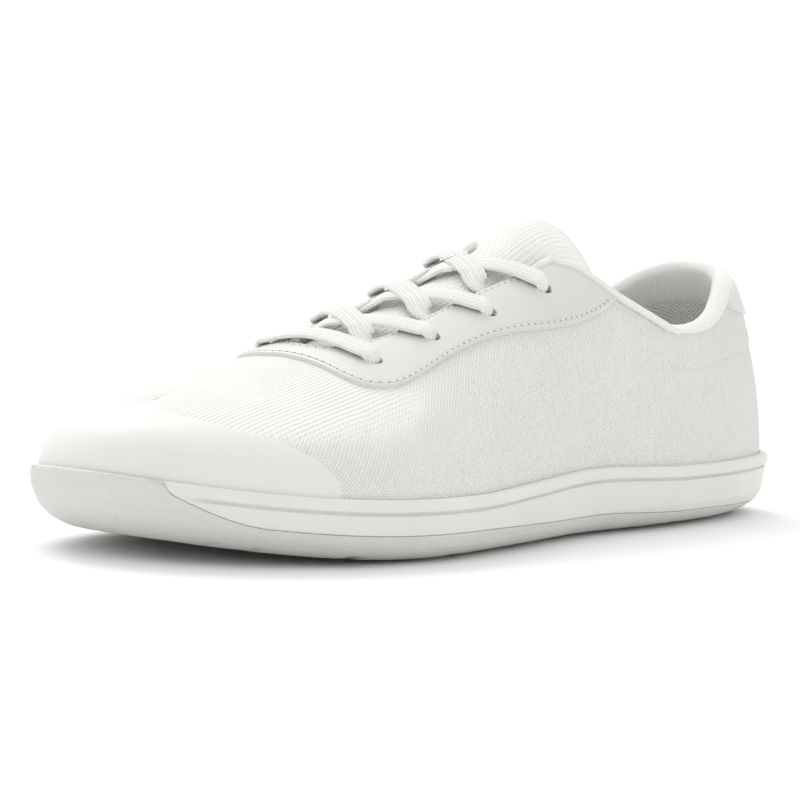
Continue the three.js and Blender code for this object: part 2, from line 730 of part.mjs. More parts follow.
// The origin is on the floor, under the middle of the sole.
const middle = new THREE.Box3().setFromPoints(ring(0, () => 0)).getCenter(new THREE.Vector3());
shoe.position.set(-LENGTH / 2, -middle.y, 0);
shoe.updateMatrixWorld(true);

export default shoe;
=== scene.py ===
import math

import bmesh
import bpy
import numpy as np
from mathutils import Matrix, Vector


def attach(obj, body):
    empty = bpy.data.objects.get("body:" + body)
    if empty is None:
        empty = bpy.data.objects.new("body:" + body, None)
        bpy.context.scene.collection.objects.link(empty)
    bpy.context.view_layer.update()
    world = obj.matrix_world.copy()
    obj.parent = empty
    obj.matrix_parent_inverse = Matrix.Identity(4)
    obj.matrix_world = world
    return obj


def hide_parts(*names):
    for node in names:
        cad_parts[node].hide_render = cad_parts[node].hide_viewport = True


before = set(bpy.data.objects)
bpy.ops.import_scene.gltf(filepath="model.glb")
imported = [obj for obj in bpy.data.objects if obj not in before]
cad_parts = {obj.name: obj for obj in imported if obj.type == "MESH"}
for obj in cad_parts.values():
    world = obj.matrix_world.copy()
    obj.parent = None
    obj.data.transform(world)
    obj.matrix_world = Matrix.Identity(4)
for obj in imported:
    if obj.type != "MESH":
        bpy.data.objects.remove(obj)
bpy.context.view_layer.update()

# Lengths are in millimetres with the heel at x = 0 until a mesh is made from them.
MM = 0.001
LENGTH = 272.0
BALL_WIDTH = 103.0
HEEL_WIDTH = 74.0
INSTEP_HEIGHT = 77.0
TOE_HEIGHT = 39.0
HEEL_HEIGHT = 76.0
RIM_HEIGHT = 18.0
TOE_SPRING = 8.0
SPRING_LENGTH = 77.0
SPRING_POWER = 1.8
CUP_WALL = 2.3
BEAD_GROOVE = 0.9
TREAD_DEPTH = 1.4
TREAD_WIDTH = 2.6
UPPER_WALL = 2.0
CAP_THICKNESS = 0.6
EYESTAY_THICKNESS = 1.1
TAB_THICKNESS = 1.0
COLLAR_PAD = 6.0
COLLAR_DEPTH = 26.0
COLLAR_TIP = 2.0
COLLAR_TIP_DEPTH = 8.0
THROAT_WIDTH = 24.0
THROAT_SHIFT = 2.5
EYELET_SPREAD = 39.0
EYELET_DIAMETER = 4.4
TONGUE_THICKNESS = 5.0
LACE_WIDTH = 7.0
LACE_THICKNESS = 1.7
LACE_START_BACK = 8.4
GAP = 0.3
FLAT_SAG = 0.6

# Where the toe bumper's slanted end meets the side groove and the rim.
BUMPER_FOOT = LENGTH - 26
BUMPER_TOP = LENGTH - 5
BUMPER_CLIMB = 2.2

# Columns round the outline that the plain model has, for the place of its middle.
PLAIN_ROUND = 66


def columns(names, *rows):
    return {name: np.array([row[k] for row in rows], float) for k, name in enumerate(names)}


SECTIONS = columns(
    ["outer_at", "outer", "inner_at", "inner", "heel", "ridge_at", "ridge_side", "instep", "toe",
     "outer_full", "inner_full"],
    [0, 0, 0, 0, 1, 0.13, 0, 1.2, 0, 2.6, 2.6],
    [0.037, 0.36, 0.037, -0.324, 1, 0.14, 0, 1.2, 0, 1.85, 1.9],
    [0.14, 0.534, 0.14, -0.446, 1, 0.17, 0, 1.22, 0, 1.45, 1.6],
    [0.276, 0.592, 0.276, -0.46, 1, 0.25, 0, 1.22, 0, 1.38, 1.6],
    [0.423, 0.498, 0.404, -0.395, 0.5, 0.38, 0, 1.045, 0, 1.8, 2.3],
    [0.57, 0.488, 0.533, -0.375, 0, 0.537, -0.01, 0.845, 0, 1.8, 2.4],
    [0.706, 0.526, 0.662, -0.427, 0, 0.684, -0.03, 0.5, 0.37, 1.7, 2.2],
    [0.818, 0.483, 0.782, -0.481, 0, 0.787, -0.05, 0.15, 0.86, 1.75, 2.1],
    [0.908, 0.361, 0.897, -0.427, 0, 0.853, -0.07, 0, 1.05, 1.9, 2.1],
    [0.97, 0.18, 0.972, -0.289, 0, 0.882, -0.08, 0, 1, 2, 2],
    [1, -0.042, 1, -0.042, 0, 0.89, -0.08, 0, 0.98, 2.1, 2.1],
)
LAST_SECTION = len(SECTIONS["heel"]) - 1

# Rim and side groove above the bottom, as shares of the rim height.
SOLE_HEIGHTS = columns(
    ["at", "rim", "groove"],
    [0, 1.005, 0.222],
    [0.26, 1.005, 0.28],
    [0.45, 1.09, 0.372],
    [0.7, 0.94, 0.428],
    [1, 0.81, 0.317],
)

# Side of the sole from the bottom up: inset from the outline, share of the rim height, millimetres
# above that, and share of the bead groove's depth.
SOLE_SIDE = columns(
    ["inset", "share", "up", "groove"],
    [15, 0, 0, 0],
    [10.5, 0, 0.5, 0],
    [6.6, 0, 1.9, 0],
    [3.4, 0, 4.2, 0],
    [1.5, 0, 7.2, 0],
    [0.75, 1, -4.6, 0],
    [0.72, 1, -4.1, 0],
    [0.62, 1, -3.85, 0.6],
    [0.6, 1, -3.55, 1],
    [0.5, 1, -3.25, 0.6],
    [0.2, 1, -3.0, 0],
    [0.03, 1, -2.4, 0],
    [0, 1, -1.5, 0],
    [0.12, 1, -0.85, 0],
    [0.5, 1, -0.3, 0],
    [1.1, 1, -0.05, 0],
    [2.2, 1, 0.0, 0],
    [2.5, 1, -0.6, 0],
    [3.2, 1, -4.0, 0],
)
SIDE_LOW_ROWS = 6

TOPLINE = columns(
    ["at", "up"],
    [-0.1, 0.925], [0.03, 0.92], [0.075, 0.88], [0.115, 0.81], [0.14, 0.765], [0.175, 0.728],
    [0.215, 0.717], [0.25, 0.733], [0.29, 0.785], [0.335, 0.852], [0.365, 0.918], [0.38, 0.955],
    [0.398, 0.968],
)

# Half the throat as a share of its width, from its round front end back.
THROAT = columns(
    ["at", "half"],
    [0.708, 0], [0.705, 0.2], [0.695, 0.34], [0.672, 0.45], [0.635, 0.5], [0.56, 0.48], [0.48, 0.51],
    [0.43, 0.54], [0.25, 0.56],
)

# Lower edge of the eyestay in side view, from the topline to the front on each side of the shoe.
STAY_SIDE = columns(
    ["at", "up"],
    [0.333, 0.85], [0.375, 0.8], [0.425, 0.763], [0.475, 0.745], [0.525, 0.732], [0.567, 0.706],
    [0.615, 0.66], [0.665, 0.603], [0.7, 0.568], [0.722, 0.559], [0.737, 0.566], [0.742, 0.59],
)
STAY_SIDE_INNER_ROWS = 8

# Front edge of the eyestay in plan, from each side to the middle.
STAY_FRONT_OUTER = columns(["at", "side"], [0.7405, 0.1], [0.739, -0.034])
STAY_FRONT_INNER = columns(["at", "side"], [0.69, -0.28], [0.725, -0.2], [0.737, -0.11], [0.739, -0.034])

# Rear edge of the toe cap in plan.
CAP_EDGE = columns(
    ["at", "side"],
    [0.82, 0.6], [0.845, 0.428], [0.862, 0.357], [0.877, 0.3], [0.898, 0.218], [0.918, 0.11],
    [0.925, 0], [0.92, -0.106], [0.9, -0.22], [0.868, -0.33], [0.835, -0.43], [0.8, -0.6],
)

# Lower edge of the heel tab in side view.
TAB_EDGE = columns(["at", "up"], [-0.1, 0.735], [0.06, 0.765], [0.114, 0.8])

EYELETS = [0.694, 0.612, 0.528, 0.441]

# Tongue from its covered front end to its free top: half width and raised width in throat widths, rise
# and sink in tongue thicknesses.
TONGUE = columns(
    ["section", "half", "rise", "crown", "sink", "thick"],
    [6.35, 0.5, 0, 1, 0, 0.4],
    [6.15, 0.75, 0.1, 1, 0, 0.6],
    [5.8, 0.917, 0.4, 1, 0, 0.8],
    [5.3, 0.958, 0.5, 0.98, 0, 1],
    [4.8, 1, 0.58, 0.98, 0, 1],
    [4.4, 0.958, 1.2, 0.98, 0.26, 1],
    [4.1, 0.917, 1.8, 1.06, 0.48, 1],
    [3.85, 0.875, 1.6, 1.5, 0.52, 1],
    [3.65, 0.813, 0.84, 1.69, 0.52, 1],
    [3.5, 0.667, -0.3, 1.57, 0.4, 0.9],
    [3.42, 0.417, -1.3, 1.45, 0.4, 0.6],
)

TREAD = columns(
    ["at", "turn"],
    [0.09, -8], [0.16, 8], [0.24, -8], [0.31, 8], [0.59, 10], [0.65, -10], [0.72, 10], [0.78, -10],
    [0.84, 10], [0.885, -4], [0.93, 6],
)

# Collar pad: shares of its thickness up and inward, of its depth down, and whether it lies behind the
# canvas.
COLLAR_SECTION = columns(
    ["up", "down", "inward", "behind"],
    [0, 1, 0, 1],
    [0, 0.5, 0, 1],
    [0, 0, 0, 0.8],
    [0.05, 0, -0.06, 0],
    [0.28, 0, -0.08, 0],
    [0.56, 0, 0.08, 0],
    [0.76, 0, 0.42, 0],
    [0.62, 0, 0.82, 0],
    [0.2, 0, 1.08, 0],
    [0, 0.25, 1.12, 0],
    [0, 0.65, 0.8, 0],
    [0, 1, 0.42, 0],
)
COLLAR_REACH = 0.187

# Soft troughs and ridges of the canvas in side view: place and height as shares of the length and heel
# height at both ends, half width and depth in millimetres, and 1 for outer, -1 for inner, 0 for both.
CREASES = columns(
    ["at", "up", "end_at", "end_up", "half", "depth", "side"],
    [0.15, 0.56, 0.30, 0.50, 2.6, 0.35, 0],
    [0.33, 0.44, 0.42, 0.30, 4.0, 0.5, 1],
    [0.36, 0.62, 0.47, 0.52, 3.5, -0.35, 0],
    [0.64, 0.50, 0.72, 0.34, 3.0, 0.4, 0],
    [0.70, 0.50, 0.76, 0.36, 2.6, -0.3, 0],
    [0.76, 0.50, 0.79, 0.38, 2.6, 0.35, 0],
    [0.06, 0.62, 0.10, 0.40, 2.4, 0.3, -1],
)


def hermite(a, b, c, d, t):
    slope_in = (c - a) / 2
    slope_out = (d - b) / 2
    return ((2 * t ** 3 - 3 * t ** 2 + 1) * b + (t ** 3 - 2 * t ** 2 + t) * slope_in
            + (3 * t ** 2 - 2 * t ** 3) * c + (t ** 3 - t ** 2) * slope_out)


def along(values, place, level=True):
    """Value at a row number, with level ends or free ends."""
    last = len(values) - 1
    k = np.clip(np.floor(place).astype(int), 0, last - 1)
    rows = [k + n for n in (-1, 0, 1, 2)]
    if level:
        rows = [last - np.abs(last - np.abs(row)) for row in rows]
    return hermite(*(values[np.clip(row, 0, last)] for row in rows), place - k)


def spline(points, count):
    """A smooth open line through points, as count points at even distances."""
    points = np.asarray(points, float)
    place = np.linspace(0, len(points) - 1, 40 * (len(points) - 1) + 1)
    return even(np.stack([along(column, place, level=False) for column in points.T], 1), count)


def lengths(points):
    """Distance walked to each point of a line, or along each row of a grid."""
    steps = np.linalg.norm(np.diff(points, axis=-2), axis=-1)
    return np.concatenate([np.zeros_like(steps[..., :1]), np.cumsum(steps, axis=-1)], -1)


def even(points, count):
    walked = lengths(points)
    spots = np.linspace(0, walked[-1], count)
    return np.stack([np.interp(spots, walked, points[:, n]) for n in range(points.shape[1])], 1)


def smoothstep(low, high, x):
    t = np.clip((x - low) / (high - low), 0, 1)
    return t * t * (3 - 2 * t)


def sized(table, column, size, at="at"):
    """Points of a table: its places as lengths, and a column as shares of a size."""
    return np.stack([table[at] * LENGTH, table[column] * size], 1)


SECTION_WIDTHS = HEEL_WIDTH * SECTIONS["heel"] + BALL_WIDTH * (1 - SECTIONS["heel"])
OUTER = sized(SECTIONS, "outer", SECTION_WIDTHS, "outer_at")
INNER = sized(SECTIONS, "inner", SECTION_WIDTHS, "inner_at")
OUTLINE = np.concatenate([OUTER, INNER[1:-1][::-1]])


def outline(share, inset):
    """Point of the sole's outline at a share of the way round, moved inward by inset."""
    count = len(OUTLINE)
    place = (np.asarray(share, float) % 1.0) * count
    k = np.floor(place).astype(int)
    t = (place - k)[..., None]
    a, b, c, d = (OUTLINE[(k + n) % count] for n in (-1, 0, 1, 2))
    point = hermite(a, b, c, d, t)
    slope = ((6 * t ** 2 - 6 * t) * (b - c) + (3 * t ** 2 - 4 * t + 1) * (c - a) / 2
             + (3 * t ** 2 - 2 * t) * (d - b) / 2)
    tangent = slope / np.linalg.norm(slope, axis=-1, keepdims=True)
    inward = np.stack([tangent[..., 1], -tangent[..., 0]], -1)
    return point + inward * np.asarray(inset, float)[..., None]


def even_shares(count, low=0.0, high=1.0):
    """Shares round the outline at even distances."""
    fine = np.linspace(low, high, 4001)
    walked = lengths(outline(fine, 0.0))
    return np.interp(np.linspace(0, walked[-1], count), walked, fine)


PLAIN_OUTLINE = outline(np.arange(PLAIN_ROUND) / PLAIN_ROUND, 0.0)
MIDDLE = (PLAIN_OUTLINE[:, 1].max() + PLAIN_OUTLINE[:, 1].min()) / 2
ORIGIN = np.array([LENGTH / 2, MIDDLE, 0])


def bottom_at(x):
    return TOE_SPRING * (np.maximum(x - LENGTH + SPRING_LENGTH, 0) / SPRING_LENGTH) ** SPRING_POWER


def sole_height(name, x):
    """Height of the rim or the groove at a length, eased from row to row."""
    at, values = SOLE_HEIGHTS["at"], SOLE_HEIGHTS[name]
    k = np.clip(np.searchsorted(at, x / LENGTH, side="right") - 1, 0, len(at) - 2)
    share = values[k] + (values[k + 1] - values[k]) * smoothstep(at[k], at[k + 1], x / LENGTH)
    return bottom_at(x) + RIM_HEIGHT * share


def meridian(u, grow):
    """Base, ridge and bend of the upper's form at u, from -0.5 on the inner side to 0.5 on the outer."""
    section = LAST_SECTION * np.abs(u) * 2
    base_plan = outline(u, CUP_WALL + GAP - grow)
    base = np.concatenate([base_plan, sole_height("rim", base_plan[..., :1])], -1)
    ridge = np.stack([
        along(SECTIONS["ridge_at"], section) * LENGTH,
        along(SECTIONS["ridge_side"], section) * BALL_WIDTH,
        along(SECTIONS["instep"], section) * INSTEP_HEIGHT + along(SECTIONS["toe"], section) * TOE_HEIGHT
        + grow,
    ], -1)
    full = np.where(u < 0, along(SECTIONS["inner_full"], section), along(SECTIONS["outer_full"], section))
    return base, ridge, 2 / full


def last_point(u, angle, grow=0.0):
    u, angle, grow = np.broadcast_arrays(np.asarray(u, float), angle, grow)
    base, ridge, power = meridian(u, grow)
    across = (np.maximum(np.cos(angle), 0) ** power)[..., None]
    rise = np.maximum(np.sin(angle), 0) ** power
    plan = ridge[..., :2] * (1 - across) + base[..., :2] * across
    height = base[..., 2] + (ridge[..., 2] - base[..., 2]) * rise
    return np.concatenate([plan, height[..., None]], -1)


def last_normal(u, angle):
    step = 0.0004
    u, low = np.broadcast_arrays(u, np.clip(angle, 0.011, math.pi / 2 - 0.02))
    around = last_point(u + step, low) - last_point(u - step, low)
    upward = last_point(u, low + 0.01) - last_point(u, low - 0.01)
    normal = -np.cross(around, upward)
    return normal / np.linalg.norm(normal, axis=-1, keepdims=True)


def halve(low, high, ahead):
    """Where ahead turns true between low and high."""
    for _ in range(36):
        middle = (low + high) / 2
        beyond = ahead(middle)
        high = np.where(beyond, middle, high)
        low = np.where(beyond, low, middle)
    return (low + high) / 2


def height_angle(u, z, grow=0.0):
    base, ridge, power = meridian(u, grow)
    rise = np.clip((z - base[..., 2]) / (ridge[..., 2] - base[..., 2]), 0, 1)
    return np.arcsin(rise ** (1 / power))


def side_over(x, z, side):
    """Place and angle on the form that the side view shows at x, z."""
    x, z = np.asarray(x, float), np.asarray(z, float)

    def ahead(u):
        return last_point(u * side, height_angle(u * side, z))[..., 0] > x

    u = halve(np.full_like(x, 0.02), np.full_like(x, 0.49), ahead) * side
    return u, height_angle(u, z)


def ridge_side_at(x):
    place = np.linspace(0, LAST_SECTION, 400)
    at = along(SECTIONS["ridge_at"], place) * LENGTH
    return np.interp(x, at, along(SECTIONS["ridge_side"], place) * BALL_WIDTH)


def throat_side_at(x):
    """Middle of the throat, a little to the outer side of the ridge."""
    return ridge_side_at(x) + THROAT_SHIFT


def plan_over(x, y):
    """Place and angle on the form over a plan point."""
    x, y = np.asarray(x, float), np.asarray(y, float)
    side = np.where(y < ridge_side_at(x), -1.0, 1.0)

    def ahead(u):
        base, ridge, _ = meridian(u * side, 0.0)
        cross = ((x - ridge[..., 0]) * (base[..., 1] - ridge[..., 1])
                 - (y - ridge[..., 1]) * (base[..., 0] - ridge[..., 0]))
        return cross * side < 0

    u = halve(np.full_like(x, 0.03), np.full_like(x, 0.49), ahead) * side
    base, ridge, power = meridian(u, 0.0)
    away = np.hypot(x - ridge[..., 0], y - ridge[..., 1])
    across = np.clip(away / np.hypot(*(base - ridge)[..., :2].T).T, 0, 1)
    return u, np.arccos(across ** (1 / power))


def surface_over(plan):
    """Points of the form over plan points, and the normals there."""
    place = plan_over(plan[..., 0], plan[..., 1])
    return last_point(*place), last_normal(*place)


TOPLINE_FINE = spline(sized(TOPLINE, "up", HEEL_HEIGHT), 400)
THROAT_FINE = spline(sized(THROAT, "half", THROAT_WIDTH), 400)[::-1]
CAP_FINE = spline(sized(CAP_EDGE, "side", BALL_WIDTH), 400)
THROAT_TOP = TOPLINE["at"][-1] * LENGTH


def topline_at(x):
    return np.interp(x, TOPLINE_FINE[:, 0], TOPLINE_FINE[:, 1])


def throat_half(x):
    return np.interp(x, THROAT_FINE[:, 0], THROAT_FINE[:, 1], right=0)


def throat_edge(x, side):
    """Plan points of the throat's edge."""
    return np.stack([x, throat_side_at(x) + side * throat_half(x)], 1)


def topline_plan(x, side):
    """Plan points under the topline."""
    return last_point(*side_over(x, topline_at(x), side))[:, :2]


def first_angle(u, hit):
    """Angle up each meridian where hit first turns true, or the ridge's."""
    angles = np.linspace(0.0, math.pi / 2, 260)
    flags = hit(last_point(u[:, None], angles))
    first = flags.argmax(1)
    low, high = angles[np.maximum(first - 1, 0)], angles[first]
    found = halve(low, high, lambda angle: hit(last_point(u, angle)))
    return np.where(flags.any(1), found, math.pi / 2)


# Mesh makers.

def cloth_of(s, t, mask=0.0):
    """Place on the cloth in millimetres, across and up, and a mask, for each point."""
    return np.stack(np.broadcast_arrays(s, t, mask), -1).reshape(-1, 3)


def placed(name, data):
    piece = bpy.data.objects.new(name, data)
    bpy.context.scene.collection.objects.link(piece)
    return piece


def add_object(name, verts, faces, materials=(), face_material=None, cloth=None):
    mesh = bpy.data.meshes.new(name)
    verts = (np.asarray(verts, float).reshape(-1, 3) - ORIGIN) * MM
    mesh.from_pydata(verts.tolist(), [], [list(map(int, f)) for f in faces])
    if cloth is not None:
        attribute = mesh.attributes.new("cloth", "FLOAT_VECTOR", "POINT")
        attribute.data.foreach_set("vector", np.asarray(cloth, np.float32).ravel())
    for material in materials:
        mesh.materials.append(material)
    if face_material is not None:
        mesh.polygons.foreach_set("material_index", np.asarray(face_material, np.int32))
    mesh.polygons.foreach_set("use_smooth", [True] * len(mesh.polygons))
    return placed(name, mesh)


def grid_faces(rows, count, wrap=False, start=0):
    """Faces of a grid of rows of count points, round each row if wrap."""
    across = count if wrap else count - 1
    j, k = np.meshgrid(np.arange(rows - 1), np.arange(across), indexing="ij")
    j, k = j.ravel(), k.ravel()
    after = (k + 1) % count
    low, high = j * count + start, (j + 1) * count + start
    return np.stack([low + k, low + after, high + after, high + k], 1)


def tidy(piece, outward=True, weld=0.00001):
    """Welds points that meet, drops empty faces and turns the faces outward."""
    work = bmesh.new()
    work.from_mesh(piece.data)
    bmesh.ops.remove_doubles(work, verts=work.verts, dist=weld)
    bmesh.ops.dissolve_degenerate(work, edges=work.edges, dist=weld / 4)
    if outward:
        bmesh.ops.recalc_face_normals(work, faces=work.faces)
    for face in work.faces:
        face.smooth = True
    work.to_mesh(piece.data)
    work.free()
    return piece


def finish_piece(piece, slot, *nodes):
    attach(piece, "root")
    if nodes:
        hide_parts(*nodes)
    return piece


def grid_normals(points):
    """Unit normals of a grid of points."""
    a = np.gradient(points, axis=0)
    b = np.gradient(points, axis=1)
    normal = np.cross(a, b)
    return normal / np.maximum(np.linalg.norm(normal, axis=-1, keepdims=True), 1e-9)


# Camera: the photograph's place, angle and roll.
CAMERA_AT = (0.7168, 0.5564, 0.1059)
CAMERA_RIGHT = Vector((-0.6265, 0.7782, 0.0430))
CAMERA_AHEAD = Vector((-0.7787, -0.6226, -0.0780))
CAMERA_LENS = 148.5


def add_camera():
    data = bpy.data.cameras.new("camera")
    data.lens = CAMERA_LENS
    data.sensor_width = 36
    data.clip_start = 0.01
    camera = placed("camera", data)
    ahead = CAMERA_AHEAD.normalized()
    up = CAMERA_RIGHT.cross(ahead).normalized()
    right = ahead.cross(up).normalized()
    turn = Matrix((right, up, -ahead)).transposed().to_4x4()
    camera.matrix_world = Matrix.Translation(CAMERA_AT) @ turn
    bpy.context.scene.camera = camera


add_camera()


# Materials.

def add_node(tree, kind, inputs=(), **settings):
    node = tree.nodes.new(kind)
    for name, value in settings.items():
        setattr(node, name, value)
    for name, value in dict(inputs).items():
        if isinstance(value, bpy.types.NodeSocket):
            tree.links.new(value, node.inputs[name])
        else:
            node.inputs[name].default_value = value
    return node


class Finish:
    """A material under way: its shader, and a short way to add nodes."""

    def __init__(self, name, colour, roughness, **sockets):
        self.material = bpy.data.materials.new(name)
        self.material.use_nodes = True
        self.tree = self.material.node_tree
        self.shader = self.tree.nodes["Principled BSDF"]
        self.colour = colour
        self.shader.inputs["Base Color"].default_value = (*colour, 1)
        self.shader.inputs["Roughness"].default_value = roughness
        for socket, value in sockets.items():
            self.shader.inputs[socket.replace("_", " ").title().replace("Ior", "IOR")].default_value = value
        self.height = None

    def node(self, kind, inputs=(), **settings):
        return add_node(self.tree, kind, inputs, **settings)

    def maths(self, operation, a, b=0.0, c=0.0):
        return self.node("ShaderNodeMath", {0: a, 1: b, 2: c}, operation=operation).outputs[0]

    def place(self):
        return self.node("ShaderNodeTexCoord").outputs["Object"]

    def cloth(self):
        attribute = self.node("ShaderNodeAttribute", attribute_name="cloth")
        return self.node("ShaderNodeSeparateXYZ", {0: attribute.outputs["Vector"]}).outputs

    def noise(self, size, detail):
        inputs = {"Vector": self.place(), "Scale": 1 / size, "Detail": detail}
        return self.node("ShaderNodeTexNoise", inputs).outputs[0]

    def cells(self, size, feature):
        inputs = {"Vector": self.place(), "Scale": 1 / size}
        return self.node("ShaderNodeTexVoronoi", inputs, feature=feature).outputs["Distance"]

    def ripple(self, coordinate, pitch, shift=0.0):
        """Wave from 0 to 1 over a coordinate."""
        turned = self.maths("MULTIPLY_ADD", coordinate, 2 * math.pi / pitch, shift)
        return self.maths("MULTIPLY_ADD", self.maths("SINE", turned), 0.5, 0.5)

    def dots(self, s, t, pitch_s, pitch_t, shift, join):
        """Rows of dots, every other row half a pitch along."""
        rows = [self.maths("MULTIPLY", self.ripple(s, pitch_s, turn), self.ripple(t, pitch_t, shift + turn))
                for turn in (0.0, math.pi)]
        return self.maths(join, *rows)

    def emboss(self, height, depth):
        """Adds a bump of that depth in metres over what is there."""
        inputs = {"Height": height, "Distance": depth, "Strength": 1.0}
        if self.height is not None:
            inputs["Normal"] = self.height
        self.height = self.node("ShaderNodeBump", inputs).outputs[0]
        self.tree.links.new(self.height, self.shader.inputs["Normal"])

    def tint(self, factor, colour, low, high):
        """Turns the base colour towards colour where factor goes from low to high."""
        spread = self.node("ShaderNodeMapRange", {0: factor, 1: low, 2: high}).outputs[0]
        link = self.shader.inputs["Base Color"].links
        start = link[0].from_socket if link else (*self.colour, 1)
        mix = self.node("ShaderNodeMix", {0: spread, 6: start, 7: (*colour, 1)}, data_type="RGBA")
        self.tree.links.new(mix.outputs[2], self.shader.inputs["Base Color"])

    def rough(self, factor, low, high):
        spread = self.node("ShaderNodeMapRange", {0: factor, 3: low, 4: high}).outputs[0]
        self.tree.links.new(spread, self.shader.inputs["Roughness"])


def darker(share, colour):
    return tuple(share * c for c in colour)


def canvas_finish():
    """Fine knitted canvas: crossed courses of dots, ribs over the vamp."""
    finish = Finish("canvas_weave", (0.93, 0.928, 0.90), 0.92, sheen_weight=0.25, sheen_roughness=0.5,
                    specular_ior_level=0.3)
    s, t, vamp = finish.cloth()
    uneven = finish.maths("MULTIPLY_ADD", finish.noise(0.004, 2), 0.5, s)
    knit = finish.dots(uneven, t, 1.15, 1.3, 0.4, "ADD")
    across = finish.node("ShaderNodeSeparateXYZ", {0: finish.place()}).outputs[1]
    ribs = finish.ripple(finish.maths("MULTIPLY", across, 1000.0), 1.3)
    faint = finish.maths("MULTIPLY_ADD", ribs, 0.5, 0.14)
    mixed = finish.node("ShaderNodeMix", {0: vamp, 2: knit, 3: faint}).outputs[0]
    finish.emboss(mixed, 0.00038)
    finish.emboss(finish.noise(0.0006, 2), 0.0001)
    # Painted shade: the colour turns darker where the knit's dots and the vamp's ribs are low, in their
    # hollows.
    finish.tint(mixed, (0.68, 0.677, 0.65), 0.55, 0.0)
    finish.tint(finish.noise(0.02, 3), (0.89, 0.885, 0.86), 0.45, 0.75)
    return finish.material


def mesh_finish():
    """Spacer mesh: rows of small open holes."""
    finish = Finish("lining_mesh_net", (0.93, 0.93, 0.905), 0.9, sheen_weight=0.2)
    s, t, _ = finish.cloth()
    net = finish.dots(s, t, 1.5, 1.2, 0.0, "MAXIMUM")
    finish.emboss(net, -0.0003)
    # Painted shade: the sunken open holes are darkened, standing in for the shade inside them.
    finish.tint(net, (0.76, 0.76, 0.74), 0.35, 0.85)
    return finish.material


def knit_finish(name, colour, pitch_s, pitch_t, depth):
    finish = Finish(name, colour, 0.9, sheen_weight=0.25, sheen_roughness=0.5, specular_ior_level=0.3)
    s, t, _ = finish.cloth()
    knit = finish.maths("MULTIPLY", finish.ripple(s, pitch_s), finish.ripple(t, pitch_t))
    finish.emboss(knit, depth)
    finish.emboss(finish.noise(0.0005, 2), 0.00006)
    # Painted shade: the colour turns darker where the knit is low, in its hollows.
    finish.tint(knit, darker(0.9, colour), 0.35, 0.0)
    return finish.material


def lace_finish():
    """Flat tubular lace: herringbone threads and two lengthwise lines."""
    finish = Finish("woven_lace", (0.95, 0.948, 0.92), 0.85, sheen_weight=0.3, sheen_roughness=0.5)
    s, t, _ = finish.cloth()
    bend = finish.maths("ABSOLUTE", t)
    slant = finish.maths("ADD", s, finish.maths("PINGPONG", bend, 1.0))
    threads = finish.ripple(slant, 0.75)
    wales = finish.ripple(bend, 1.0)
    finish.emboss(finish.maths("MULTIPLY", threads, wales), 0.00022)
    finish.emboss(finish.noise(0.0004, 2), 0.00005)
    # Painted shade: darker in the low grooves between the slanted threads.
    finish.tint(threads, (0.87, 0.868, 0.835), 0.4, 0.0)
    return finish.material


def grained(name, colour, roughness, grains, tint, gloss=None, **sockets):
    """A material with bumps, each a detail or kind of cell, a size and a depth, and patches of a second
    colour and gloss, each with its size and detail."""
    finish = Finish(name, colour, roughness, **sockets)
    for kind, size, depth in grains:
        pattern = finish.cells(size, kind) if isinstance(kind, str) else finish.noise(size, kind)
        finish.emboss(pattern, depth)
    if gloss:
        finish.rough(finish.noise(*gloss[:2]), *gloss[2:])
    size, detail, other, start = tint
    finish.tint(finish.noise(size, detail), other, start, 0.8)
    return finish.material


CANVAS = canvas_finish()
PANEL = grained(
    "coated_leather", (0.70, 0.697, 0.672), 0.42, [("F1", 0.0009, 0.00002), (2, 0.012, 0.0002)],
    (0.03, 3, (0.68, 0.677, 0.652), 0.45), (0.006, 3, 0.38, 0.5), coat_weight=0.12, coat_roughness=0.3)
FILM = grained(
    "toe_film", (0.80, 0.795, 0.765), 0.46, [(2, 0.015, 0.00025), (2, 0.0005, 0.00001)],
    (0.025, 3, (0.78, 0.775, 0.745), 0.45), (0.01, 3, 0.42, 0.55), coat_weight=0.08, coat_roughness=0.4)
PEBBLED, SATIN = (0.69, 0.683, 0.662), (0.79, 0.78, 0.752)
RUBBER_GLOSS = (0.008, 4, 0.5, 0.68)
OUTSOLE = grained(
    "pebbled_rubber", PEBBLED, 0.6, [("SMOOTH_F1", 0.0011, 0.00022), (3, 0.0007, 0.00008)],
    (0.02, 4, darker(0.95, PEBBLED), 0.45), RUBBER_GLOSS)
MIDSOLE = grained(
    "satin_rubber", SATIN, 0.6, [(3, 0.0009, 0.00003)], (0.02, 4, darker(0.95, SATIN), 0.45), RUBBER_GLOSS)
NET = mesh_finish()
LINING = knit_finish("lining_knit", (0.82, 0.82, 0.80), 1.4, 1.2, 0.0002)
ROLL = knit_finish("collar_knit", (0.90, 0.898, 0.87), 1.0, 0.9, 0.00008)
TONGUE_KNIT = knit_finish("ribbed_knit", (0.97, 0.965, 0.935), 0.9, 0.8, 0.0001)
LACE = lace_finish()
THREAD_COLOUR, NEEDLE_SHADE_COLOUR = (0.83, 0.83, 0.81), (0.42, 0.415, 0.40)
THREAD = grained("stitch_thread", THREAD_COLOUR, 0.7, [(3, 0.0004, 0.00005)],
                 (0.0032, 3, darker(0.92, THREAD_COLOUR), 0.45))
# Painted shade: dark dashes where the thread sinks into the panel, standing in for the shade in the needle
# holes.
NEEDLE_SHADE = grained("needle_hole_painted_shade", NEEDLE_SHADE_COLOUR, 0.9, [(3, 0.0005, 0.00005)],
                 (0.004, 3, darker(0.92, NEEDLE_SHADE_COLOUR), 0.45))
FOOTBED = grained("footbed_knit", (0.62, 0.62, 0.61), 0.9, [("F1", 0.0012, 0.0002), (3, 0.0006, 0.0001)],
                  (0.015, 3, (0.56, 0.56, 0.55), 0.4), sheen_weight=0.2)


# Sole.

